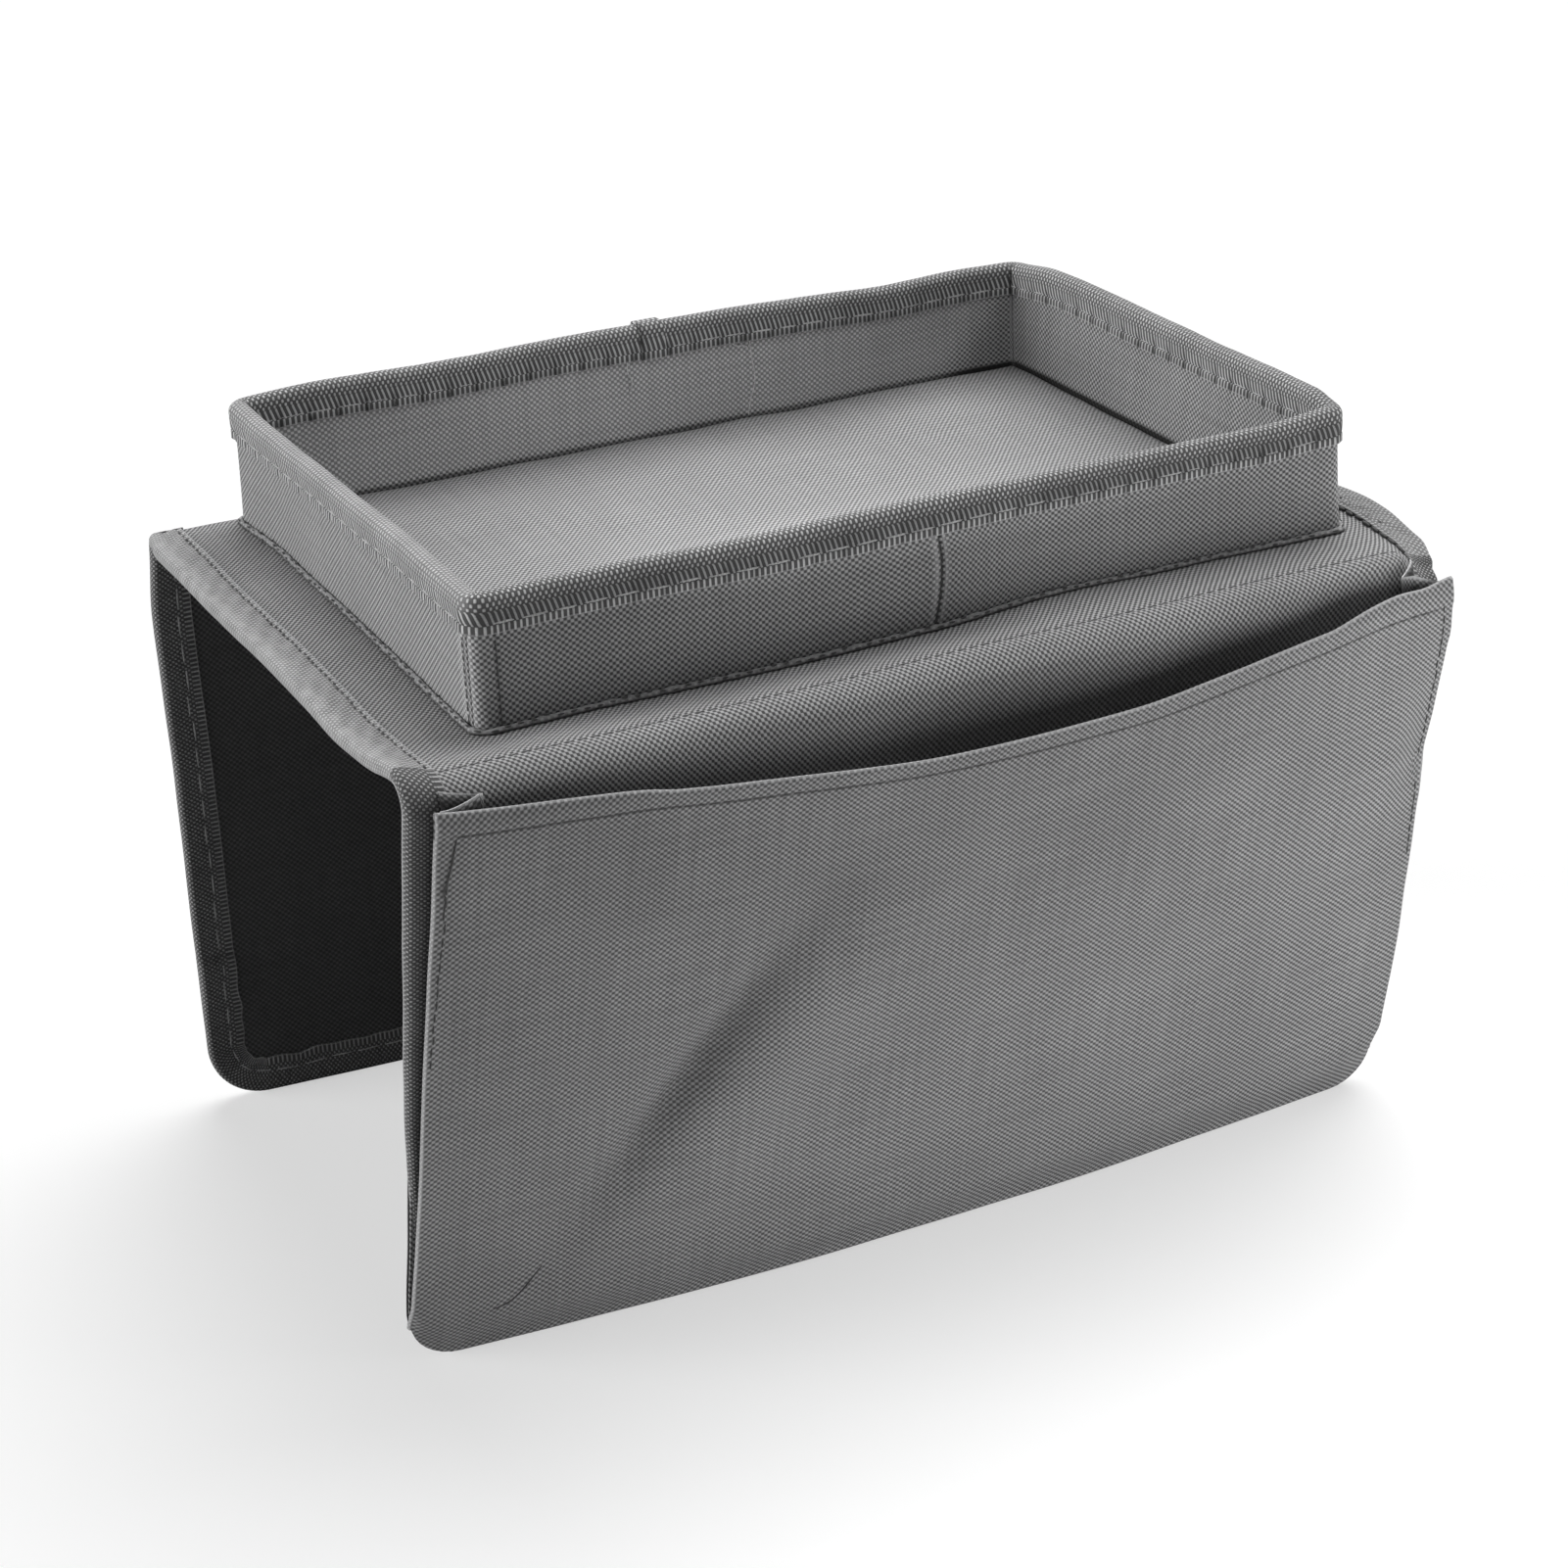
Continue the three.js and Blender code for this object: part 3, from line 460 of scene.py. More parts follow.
def tape_rows(*tape):
    """Values across a tape, close together at its woven edges and in its two bends."""
    a, b, c, d, whole = tape_across(*tape)
    hem_side = [0, 0.5, 1.1, 1.7, 2.3, 2.9, 3.5]
    rows = hem_side + even(4.6, a, 1.3) + even(a, b, (b - a) / 5)[1:] + even(b, c, 1.2)[1:]
    return rows + even(c, d, (d - c) / 5)[1:] + even(d, whole - 4.6, 1.3)[1:] + [whole - v for v in reversed(hem_side)]


tape_width = tape_across()[-1]
end_tape = binding_tape("end_tape", tape_width, 0.53, 0.13, bump=0.0003)


# Stitches: short twisted threads, each a slim closed bead that sinks into the cloth at both ends.
def sewing_thread(name, tone):
    dark, light = (tone * 0.55, tone * 0.55, tone * 0.56), (tone * 1.3,) * 3
    return flecked_finish(name, dark, light, (0.3, 0.7), 1800.0, 2.0, 0.6)


pale_thread, dark_thread = sewing_thread("pale_thread", 0.5), sewing_thread("dark_thread", 0.045)


def sew(name, body, length, stitch, gap, path, material, thick=0.34, wander=0.12):
    """A row of stitches along path(s), which gives the seam's point and the way out of the cloth for a distance
    s along it, in millimetres. Real stitches differ a little in length and line."""
    mesh = bmesh.new()
    start, number = 0.0, 0
    while start + stitch < length:
        number += 1
        long = stitch * (1 + 0.18 * noise.noise(Vector((start * 0.37, number * 1.7, 3.1))))
        (a, out), (b, _) = path(start), path(start + long)
        a, b, out = Vector(a), Vector(b), Vector(out).normalized()
        side = (b - a).cross(out).normalized()
        shift = side * wander * noise.noise(Vector((number * 0.9, 7.7, 1.3))) + out * thick * 0.25
        a, b = set_down(a + shift), set_down(b + shift)
        way = (b - a).normalized()
        side = way.cross(out).normalized()
        over = side.cross(way).normalized()
        half = (b - a).length / 2
        turn = Matrix((side * thick / 1000, over * thick * 0.8 / 1000, way * half)).transposed().to_4x4()
        bead = Matrix.Translation((a + b) / 2) @ turn
        bmesh.ops.create_uvsphere(mesh, u_segments=6, v_segments=4, radius=1, matrix=bead)
        start += long + gap
    bmesh.ops.recalc_face_normals(mesh, faces=mesh.faces)
    row = hand_over(name, mesh, material)
    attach(row, body)


# Right end: painted shade along the tape's inner edge. Left end: paler towards the bend over the end, with a random
# unevenness of tone.
def end_tape_tone_and_shade(y, v):
    if side == "right":
        return -0.8 * exp(-v / 0.5)
    return 0.25 * ease(v, 6.5, 10) + 0.2 * noise.noise(Vector((y / 5, v / 3, 2)))


def on_end_tape(y, v):
    inset, out = folded_over(v)
    ripple = (0.2 * sin(y / 1.9 + v) + 0.35 * noise.noise(Vector((y / 7, v / 3, 6)))) * between(v, 0.5, 3, 9, 12)
    return end + inwards * inset, y, out - dip(v - (tape_leg - 10.2), 0.3, 0.8) + ripple * (out > 0)


def end_stitch(s):
    return (end + inwards * inset, front_fold + 1 + 2 * number + s, height), (0, 0, 1)


# Two rows at each end: inset, height, length and gap of the stitches, thickness of the thread
left_rows = (10.2, 0.8, 1.9, 1.8, 0.42), (10.9, 1.05, 1.7, 2.0, 0.3)
# The first row at the right end, thick dark thread laid nearly end to end along the tape's inner edge, stands in for a
# shadow line there: painted shade.
right_rows = (12.3, 0.3, 4.4, 0.5, 0.75), (6.9, 1.05, 1.7, 4.0, 0.3)
for side, end, inwards, rows in (("left", left_end, 1, left_rows), ("right", right_end, -1, right_rows)):
    lay_cloth(
        f"{side}_end_tape", "binding_tape", "tray_and_top", even(front_fold, rear_fold, 1.7), tape_rows(), on_end_tape,
        end_tape, turn_over=inwards < 0, painted_light=end_tape_tone_and_shade,
        flat=(tape_width / 1000, 0.2294), held="folded", rests_on=["top_panel_cloth_woven"],
    )
    for number, (inset, height, stitch, gap, thick) in enumerate(rows):
        sew(
            f"{side}_end_tape_{'second_' * number}stitches", "tray_and_top",
            rear_fold - front_fold - 2 - 2 * number, stitch, gap, end_stitch,
            pale_thread if number else dark_thread, thick, wander=0.5 + 0.1 * number,
        )

# ----------------------------------------------------------------------
# Tray walls. Four boards stand between an outer strip and a lining of the panel's cloth. The strip is
# in two lengths that meet near the left front corner and in the middle of the front wall.
tray_length, tray_width = 300.0, 206.0
corner_radius = 5.0
wall_top = 39.0
wall_board_depth, wall_board_thick, wall_thick = 1.0, 1.6, 3.6
clearance = 0.3
# These three finishes are one cloth; the outer strip's and the lining's tones are set paler than the floor's as painted
# light on the walls.
tray_cloth = woven_cloth("tray_cloth", (0.3, 0.3, 0.303), yarns=(1.1, 0.96))
wall_lining_cloth = woven_cloth("tray_lining_cloth", (0.315, 0.315, 0.318), yarns=(1.1, 0.96))
floor_finish = woven_cloth("tray_floor_cloth", (0.285, 0.285, 0.288), yarns=(0.98, 1.18))
corner_arc = corner_radius * pi / 2
straight_x, straight_y = tray_length - 2 * corner_radius, tray_width - 2 * corner_radius
tray_round = 2 * (straight_x + straight_y + 2 * corner_arc)
turn_x, turn_y = straight_x / 2, straight_y / 2
# From the middle of the front wall by the right end: length, start and direction of each straight, and
# length, centre and first angle of each corner
tray_path = [
    (straight_x / 2, (0, -tray_width / 2), (1, 0)),
    (corner_arc, (turn_x, -turn_y), -pi / 2),
    (straight_y, (tray_length / 2, -turn_y), (0, 1)),
    (corner_arc, (turn_x, turn_y), 0),
    (straight_x, (turn_x, tray_width / 2), (-1, 0)),
    (corner_arc, (-turn_x, turn_y), pi / 2),
    (straight_y, (-tray_length / 2, turn_y), (0, -1)),
    (corner_arc, (-turn_x, -turn_y), pi),
    (straight_x / 2 + 1e-6, (-turn_x, -tray_width / 2), (1, 0)),
]


def follow(path, s, radius, turn=1):
    """The point and the outward direction at a distance s along a path of straights and corners."""
    for length, start, way in path:
        if s <= length:
            break
        s -= length
    if isinstance(way, tuple):
        return (start[0] + way[0] * s, start[1] + way[1] * s), (turn * way[1], -turn * way[0])
    angle = way + turn * s / radius
    out = (cos(angle), sin(angle))
    return (start[0] + radius * out[0], start[1] + radius * out[1]), out


def round_tray(s):
    return follow(tray_path, s % tray_round, corner_radius)


def round_columns(start, stop, spacing):
    """Values round the tray, closer together at its corners."""
    lengths = [length for length, _, _ in tray_path]
    ends = [sum(lengths[:i]) for i in range(len(lengths) + 1)]
    ends = [start] + [e for e in ends if start + 0.5 < e < stop - 0.5] + [stop]
    columns = [start]
    for a, b in zip(ends, ends[1:]):
        columns += even(a, b, spacing if b - a > corner_arc + 0.1 else corner_arc / 6)[1:]
    return columns


def on_wall(s, z, depth):
    (x, y), out = round_tray(s)
    return x - out[0] * depth, y - out[1] * depth, z


def middle_seam(z):
    """How far the seam in the middle of the front wall strays to the right at this height."""
    return 2.0 + 2.6 * sin(pi * min(max(z / 34, 0), 1))


corner_seam_at = tray_round - straight_x / 2 + 2.5
edge_seam_at = corner_seam_at - 12.4
edge_seams = edge_seam_at, edge_seam_at + 2.6
wall_rows = [0.3, 1.0, 1.8] + even(2.6, wall_top - 0.6, 2.6)


def on_strip(s, z):
    stray = middle_seam(z) * (1 - between(s, 0, 40, tray_round - 40, tray_round))
    seams = dip(s, 0.7, 0.9) + dip(s - tray_round, 0.7, 0.9) + dip(s - corner_seam_at, 0.3, 0.8)
    return on_wall(s + stray, z, seams + dip(s - edge_seams[0], 0.7, 0.8) + dip(s - edge_seams[1], 0.5, 0.7))


def strip_painted_light(s, z):
    """Painted shade along the sunk seams and at the foot, and a painted highlight on the folded cloth beside a seam."""
    at = min(abs(s - seam) for seam in (0, *edge_seams, tray_round))
    dark = max(dip(at, 1, 0.5), 0.6 * dip(s - corner_seam_at, 1, 0.5), dip(z - 0.3, 1, 0.9))
    return -0.8 * dark + 0.5 * dip(at - 1.3, 1, 0.4)


long_columns = with_seam(round_columns(0.0, corner_seam_at, 3.4), 0.0, *edge_seams, corner_seam_at)
short_columns = with_seam(even(corner_seam_at, tray_round, 3.4), corner_seam_at, tray_round)
for part, length, columns in (
    ("long", corner_seam_at, long_columns), ("short", tray_round - corner_seam_at, short_columns),
):
    lay_cloth(
        f"tray_outer_strip_{part}", "tray_cloth", "tray_and_top", columns, wall_rows, on_strip, tray_cloth,
        painted_light=strip_painted_light, flat=(0.0387, length / 1000), held="stretched", rests_on=["top_panel_cloth_woven"],
    )

corners_at = [straight_x / 2 + corner_arc / 2]
for straight in (straight_y, straight_x, straight_y):
    corners_at.append(corners_at[-1] + straight + corner_arc)


def lining_painted_light(s, z):
    """Painted shade where the lining meets the floor, in the tray's corners and over the right wall, and painted
    light over the rear wall, less by a dent's painted shadow near its right corner.
    """
    corner = min(abs(s - c) for c in corners_at)
    on_right = between(s, corners_at[0], corners_at[0] + 6, corners_at[1] - 6, corners_at[1])
    on_rear = between(s, corners_at[1], corners_at[1] + 6, corners_at[2] - 6, corners_at[2])
    dent_shadow = 0.5 * (1 - ease(s - corners_at[1] + z * 0.8, 22, 42))
    dark = max(dip(max(z - 3.0, 0), 1, 0.9), 0.8 * dip(corner, 1, 1.2))
    return (0.25 - dent_shadow) * on_rear - 0.28 * on_right - 0.85 * dark


lay_cloth(
    "tray_lining", "tray_cloth", "tray_and_top", round_columns(0.0, tray_round, 3.4),
    [0.3, 1.6, 2.4, 3.1, 3.8, 4.6] + even(6, wall_top - 0.6, 2.6),
    lambda s, z: on_wall(s, z, wall_thick),
    wall_lining_cloth, turn_over=True, joined=True, painted_light=lining_painted_light,
    flat=(0.0387, tray_round / 1000), held="stretched", rests_on=["tray_floor_cloth_woven"],
)
start = -straight_x / 2
for side, length in (("front", straight_x), ("right", straight_y), ("rear", straight_x), ("left", straight_y)):
    lay_cloth(
        f"tray_wall_board_{side}", "stiff_board", "tray_and_top", even(start + clearance, start + length - clearance, 8),
        even(clearance, wall_top, 6), lambda s, z: on_wall(s, z, wall_board_depth), stiff_board, wall_board_thick,
    )
    start += length + corner_arc

# ----------------------------------------------------------------------
# Tray floor. A board lies on the top panel inside the walls, covered with the same cloth, which is
# tucked down at its edges.
floor_x, floor_y = tray_length / 2 - wall_thick - clearance, tray_width / 2 - wall_thick - clearance
floor_cloth_top, floor_board_top = 2.9, 1.9


def from_wall(x, y):
    return max(min(floor_x - abs(x), floor_y - abs(y)), 0)


def on_tray_floor(x, y):
    ragged = 0.7 * noise.noise(Vector((x / 24, y / 24, 1))) * exp(-from_wall(x, y) / 6)
    return x, y, floor_cloth_top + ragged - 1.5 * exp(-from_wall(x, y) / 0.9)


# The floor cloth darkens close to the walls: painted shade where it meets them.
lay_cloth(
    "tray_floor_cloth", "tray_cloth", "tray_and_top",
    with_seam(even(-floor_x, floor_x, 3.6), -floor_x, floor_x),
    with_seam(even(-floor_y, floor_y, 3.6), -floor_y, floor_y),
    on_tray_floor, floor_finish, painted_light=lambda x, y: -0.75 * exp(-from_wall(x, y) / 0.6),
    flat=(0.2922, 0.1982), held="laid", rests_on=["tray_floor_board_cut"],
)
lay_cloth(
    "tray_floor_board", "stiff_board", "tray_and_top", even(-floor_x, floor_x, 8), even(-floor_y, floor_y, 8),
    lambda x, y: (x, y, floor_board_top), stiff_board, wall_board_thick,
)

# ----------------------------------------------------------------------
# Foot seam. Where the outer strip meets the top panel, the turned-in edges make a narrow folded welt,
# caught down with small slanting stitches. It is open at the rear, where the rear flap folds.
welt_wide, welt_high = 2.0, 1.5
to_corner, past_corner = straight_x / 2, straight_x / 2 + corner_arc
welt_end = past_corner + straight_y + corner_arc / 2
# Across the welt: how far out, how high, and its painted light: painted shade low on both sides and beneath
# it, a painted highlight on its top
welt_profile = [
    (0.1, 0.25, -0.8), (0.1, 1.0, -0.5), (0.35, welt_high, 0.2), (1.0, welt_high, 0.3), (1.6, 1.1, 0.1),
    (welt_wide, 0.55, -0.8), (welt_wide, 0.25, -0.9), (1.1, 0.2, -0.9),
]
sides = len(welt_profile)


def on_welt(s, v):
    out, z, _ = welt_profile[v % sides]
    (x, y), way = round_tray(s)
    rope = 1 + 0.16 * noise.noise(Vector((s / 2.3, 0.5, 0))) + 0.12 * sin(s / 1.1)
    return x + way[0] * out * rope, y + way[1] * out * rope, z * rope


# The welt's finish is a paler copy of the strip's cloth: a painted highlight for the light line along the foot.
lay_cloth(
    "tray_foot_seam", "tray_cloth", "tray_and_top",
    run(-welt_end, (-past_corner, 1.5), (-to_corner, 0.9), (to_corner, 1.5), (past_corner, 0.9), (welt_end, 1.5)),
    range(sides + 1), on_welt, woven_cloth("welt_cloth", (0.34, 0.34, 0.343), contrast=0.3), tube=True,
    painted_light=lambda s, v: welt_profile[v % sides][2], pattern=lambda s, v: (s, v * 0.6),
)


def foot_stitch(s):
    (x, y), way = round_tray(2 + s - welt_end)
    return (x + way[0] * 1.5, y + way[1] * 1.5, 1.35), (way[0], way[1], 1.2)


sew(
    "tray_foot_stitches", "tray_and_top", 2 * welt_end - 4, 2.2, 1.9, foot_stitch, dark_thread, wander=1.2
)


def strip_seam_stitch(s):
    z = 1.2 + s
    (x, y), way = round_tray(seam_at + (middle_seam(z) if name == "middle" else 0))
    return (x, y - 0.1, z), (way[0], way[1], 0)


for name, seam_at in (("middle", 0.0), ("corner", corner_seam_at), ("edge", edge_seam_at)):
    sew(
        f"tray_{name}_seam_stitches", "tray_and_top", 28, 2.6, 1.1, strip_seam_stitch, dark_thread,
        thick=0.24,
    )

# ----------------------------------------------------------------------
# Rim tape. One length of ribbed tape is folded over the top of the walls and sewn through both legs.
# Its ends overlap in the middle of the rear wall, where one lies on the other as a small step.
rim = (9.5, wall_thick, 2.1)  # leg, thickness bound and radius of the bends
rim_bend, _, _, _, rim_width = tape_across(*rim)
rim_tape = binding_tape("rim_tape", rim_width, 0.62, 0.015, selvedge=2.3, ribbed=4.6)
rim_join = straight_x / 2 + 2 * corner_arc + straight_y + straight_x / 2 - 5.0
rim_overlap = 9.0
rim_row = 2.9  # from the tape's edge to the stitches


def from_stitch(done):
    """How far a place round the rim lies from the middle of the nearest gap between two stitches."""
    return abs((done - 2 + 5.6) % 9.9 - 4.95)


def on_rim(s, v):
    inset, out = folded_over(v, *rim)
    done = s - rim_join
    lap = 0.85 * ease(done, tray_round - 0.6, tray_round + 0.4)
    pucker = 0.22 * noise.noise(Vector((s / 9, v / 6, 2))) + 0.16 * sin(s / 4.3 + sin(s / 31) * 2)
    slack = 0.35 * noise.noise(Vector((s / 26, 4, 4)))
    side = 1 if v < rim_width / 2 else -1
    from_edge = min(v, rim_width - v)
    high = ease(from_edge, 0, rim_bend)
    low = 1 - high
    pinch = dip(from_stitch(done), 0.3, 0.9) * (0.4 + low)
    out += side * (pucker * low * 0.6 - dip(from_edge - rim_row, 0.35, 0.6) - pinch + lap)
    inset += slack * low - (lap + 0.25 * pucker) * high
    (x, y), way = round_tray(s)
    return x + way[0] * out, y + way[1] * out, wall_top - inset


def rim_painted_light(s, v):
    """Painted light and shade: a painted highlight on the outer leg's upper part and the top all along the left
    wall; painted shade on the faces of both legs, weaker on the left wall, along the lower edge of the inner leg,
    along both edges on the left wall, in the tray's inner corners, where a stitch pulls the tape in and at the step
    of the joint.
    """
    at, done = s % tray_round, s - rim_join
    from_edge = min(v, rim_width - v)
    low = 1 - ease(from_edge, 0, rim_bend)
    left_side = between(at, corners_at[2] - 4, corners_at[2], corners_at[3] - 2, corners_at[3] + 3)
    pale = 0.3 * left_side * ease(v, 4, 7) * (v < rim_width * 0.7)
    face = between(from_edge, 2.0, 2.6, rim_bend - 2.2, rim_bend)
    pale -= (0.45 if v < rim_width / 2 else 0.2) * face * (1 - 0.85 * left_side)
    pale -= 0.35 * (1 - ease(from_edge, 1.6, 2.0)) * (v > rim_width / 2)
    pale -= 0.6 * dip(from_edge, 1, 0.3) * left_side
    inner_corner = min(abs(at - c) for c in corners_at)
    pale -= 0.7 * dip(inner_corner, 1, 0.9) * ease(v, rim_width / 2, rim_width / 2 + 3)
    joint_shade = dip(done - tray_round - rim_overlap + 0.3, 1, 0.5) * (v > rim_width / 2) + dip(done, 1, 0.5)
    return pale - 0.65 * dip(from_stitch(done), 1, 0.8) * low * (1 - left_side) - 0.8 * joint_shade


turned = round_columns(0.0, tray_round, 1.65)
rim_columns = [rim_join + d for d in even(0, 3, 1)]
rim_columns += [c for c in turned if c > rim_join + 3.5] + [c + tray_round for c in turned[1:] if c < rim_join - 3]
rim_columns += [rim_join + tray_round + d for d in (-2, -1, -0.5, 0, 0.5, 1.2, 2.4, 4.5, 7, rim_overlap)]
lay_cloth(
    "tray_rim_tape", "binding_tape", "tray_and_top", rim_columns, tape_rows(*rim), on_rim, rim_tape,
    turn_over=True, painted_light=rim_painted_light, flat=(rim_width / 1000, (tray_round + rim_overlap) / 1000), held="folded",
    rests_on=["tray_lining_woven", "tray_outer_strip_long_woven"],
)


def rim_stitch(s):
    s = rim_join + 2 + s
    way = round_tray(s)[1]
    out = Vector((way[0] * outwards, way[1] * outwards, 0))
    return Vector(on_rim(s, row_at)) + out * 0.5, out


for face, row_at, outwards in (("outer", rim_row, 1), ("inner", rim_width - rim_row, -1)):
    sew(
        f"rim_{face}_stitches", "tray_and_top", tray_round - 2, 8.5, 1.4, rim_stitch, pale_thread,
        thick=0.46, wander=0.5,
    )

# ----------------------------------------------------------------------
# Front flap. The same three layers go on over a rounded shoulder and hang down the front of the arm,
# leaning out a little. Its side edges are bound with tape, and the pocket closes its lower edge.
flap_drop = 212.0
front_shoulder_radius = 9.0


def hang_flap(fold, facing, radius, lean, bow):
    """A flap's outer face. The function gives, for x and a distance along the cloth from the fold, the point, the
    outward normal and the way down the cloth. With it come the lengths down to the shoulder's and the flap's end."""
    turn = pi / 2 + lean
    shoulder = radius * turn
    hang = (flap_drop - radius * (1 - cos(turn))) / cos(lean)

    def point(x, along):
        angle = min(max(along / radius, 0), turn)
        down = max(along - shoulder, 0)
        middle = (x - saddle_middle) / (saddle_length / 2)
        bowed = bow * (1 - middle**2) * (down / hang) ** 1.4
        out = radius * sin(angle) + down * cos(turn) + min(along, 0) + bowed
        return Vector((x, fold + facing * out, -(radius * (1 - cos(angle)) + down * sin(turn))))

    def at(x, along):
        sideways = point(x + 0.05, along) - point(x - 0.05, along)
        downwards = point(x, along + 0.05) - point(x, along - 0.05)
        normal = sideways.cross(downwards) * facing
        return point(x, along), normal.normalized(), downwards.normalized()

    return at, shoulder, shoulder + hang


def flap_foot(length, inset, corners):
    """The lower edge of a flap, or of a layer that lies this far inside its outline, at each x."""
    left, right = left_end + inset, right_end - inset
    radii = [max(radius - inset, 0.3) for radius in corners]

    def rise(radius, from_edge):
        level = radius - min(max(from_edge, 0), radius)
        return radius - sqrt(max(radius**2 - level**2, 0))

    return lambda x: length - inset - rise(radii[0], x - left) - rise(radii[1], right - x)


def flap_columns(inset, corners, spacing=4.0):
    """Values of x across a flap, closer together in its rounded lower corners."""
    left, right = left_end + inset, right_end - inset
    a, b = (max(radius - inset, 0.3) for radius in corners)
    turns = [i * pi / 16 for i in range(9)]
    columns = [left + a * (1 - cos(t)) for t in turns] + even(left + a, right - b, spacing)[1:-1]
    return columns + [right - b * (1 - cos(t)) for t in reversed(turns)]


def lay_flap(flap, hang, corners, inset, bend, turned, painted_light=None):
    """The three layers of a flap, each from a distance below its fold down to its outline. The rows are close over
    the shoulder and then run down evenly to the rounded foot."""
    face, shoulder, length = hang
    for layer, slot, body, edge, start, depth, thick, material, spacing in (
        ("cloth", "panel_cloth", bend, inset, 0.0, 0.0, cloth_thick, panel_cloth, 3.6),
        ("board", "stiff_board", flap, inset + board_inset, shoulder, board_depth, board_thick, stiff_board, 7.0),
        ("lining", "lining_cloth", bend, inset, -lining_setback, saddle_thick, cloth_thick, lining_cloth, 3.6),
    ):
        foot = flap_foot(length, edge, corners)
        sewn = layer == "cloth"
        seams = [0.0] if sewn else []
        rows = [start] if layer == "board" else with_seam(even(start, shoulder, 1.5), *seams)
        rows += [shoulder + d for d in even(0, 1000, 1000 * spacing / (length - shoulder))[1:]]

        def on_cloth(x, v):
            return x, v if v <= shoulder else lerp(shoulder, foot(x), (v - shoulder) / 1000)

        def place(x, v):
            along = on_cloth(x, v)[1]
            point, normal, _ = face(x, along)
            return point - normal * (depth + dip(along, 0.35, 0.8) * sewn)

        sheet = {
            "flat": ((saddle_length - 2 * inset) / 1000, (length - start) / 1000), "held": "hung",
            "rests_on": [f"top_panel_{layer}_woven"],
        }
        lay_cloth(
            f"{flap}_{layer}", slot, body, flap_columns(edge, corners, spacing), rows, place, material, thick,
            turn_over=turned != (layer == "lining"), painted_light=painted_light if sewn else None, pattern=on_cloth,
            **(sheet if layer != "board" else {}),
        )


def bend_at(body, *place):
    """For a piece that runs from the top panel round the shoulder to a flap: gives a function that bakes the piece's
    place into its mesh, without bending it. The body and the two points are not used.
    """
    return lambda piece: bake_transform(piece)


front_hang = hang_flap(front_fold, -1, front_shoulder_radius, radians(12.2), 10.0)
front_face, front_shoulder, front_length = front_hang
front_corners = (16.0, 15.0)
bend_at_front = bend_at("front_flap", (front_fold, 0), (front_fold - front_shoulder_radius, -11.0))
# The flap's cloth darkens from 9 to 21 mm below the fold and stays dark below that, across the middle of its width:
# painted shade inside the pocket's mouth.
lay_flap(
    "front_flap", front_hang, front_corners, 0.0, bend_at_front, True,
    painted_light=lambda x, v: -0.35 * ease(v, 9, 21) * between(x, -70, 10, 80, 150),
)

# The flap tape is the same tape as at the ends and on the rim; its tone is set darker as painted shade.
flap_tape = binding_tape("flap_tape", tape_width, 0.46, 0.02, rib=0.82)
first_bend, _, turned_back, last_bend, _ = tape_across()


def edge_tape(face, x, inward_x, along, inward_down, v):
    """A point of tape folded over a flap's edge, which runs through (x, along)."""
    inset, out = folded_over(v)
    point, normal, down = face(x, along)
    inwards = (Vector((1, 0, 0)) * inward_x + down * inward_down).normalized()
    return point + inwards * inset + normal * out


def on_side_tape(along, v):
    pucker = 0.25 * noise.noise(Vector((along / 11, v / 5, end)))
    tucked = 3.0 * ease(along, tape_end - 75, tape_end)
    point = edge_tape(front_face, end, inwards, along, 0, v) + Vector((inwards * tucked, 0, 0))
    return point + Vector((0, -pucker, 0)) * (1 - ease(abs(v - tape_width / 2), 0, 4))


# A painted highlight on the second of the tape's folds round the flap's edge, darker right at the tape's upper end, and
# on the left its outer leg darkened as painted shade.
def side_tape_painted_light(along, v):
    shade = 0.3 * ease(along, 5, 12) * (1 - ease(v, first_bend - 1, first_bend + 1)) * (side == "left")
    return dip(v - turned_back - 0.4, 1, 0.8) - 0.5 * dip(along, 1, 0.8) - shade


def tape_stitch(s):
    point, normal, _ = front_face(end + inwards * 8, 22 + s)
    return point - normal * (saddle_thick + tape_outside - 0.1), -normal


# The tapes end some way above the lower corners, the right one higher.
for side, end, inwards, above_foot in (("left", left_end, 1, 24.0), ("right", right_end, -1, 34.0)):
    tape_end = front_length - above_foot
    lay_cloth(
        f"front_flap_tape_{side}", "binding_tape", bend_at_front,
        even(0, front_shoulder, 1.2) + even(front_shoulder, tape_end, 2.6)[1:], tape_rows(), on_side_tape, flap_tape,
        turn_over=inwards > 0, painted_light=side_tape_painted_light,
        flat=(tape_width / 1000, tape_end / 1000), held="folded", rests_on=["front_flap_cloth_woven"],
    )
    sew(
        f"front_flap_tape_{side}_stitches", "front_flap", tape_end - 24, 5.2, 1.2, tape_stitch,
        pale_thread, wander=0.4,
    )


def fold_stitch(s):
    return (left_end + 14 + s, front_fold, -0.3), (0, -0.3, 1)


sew(
    "front_fold_stitches", "tray_and_top", saddle_length - 28, 3.2, 1.0, fold_stitch, dark_thread,
    thick=0.26,
)

# ----------------------------------------------------------------------
# Pocket. One panel of the cloth lies over the front flap. Its mouth is turned in and hemmed, hangs in a
# shallow curve and stands open, and soft folds run down the panel. Its foot is sewn to the flap's foot.
mouth_inset, lower_inset = 6.5, 0.2
mouth_rise, mouth_sag, mouth_belly = 4.5, 13.0, 12.0
hem, seam_height = 6.5, 15.0
foot_of_flap = flap_foot(front_length, 0.0, front_corners)
half_width = saddle_length / 2 - lower_inset


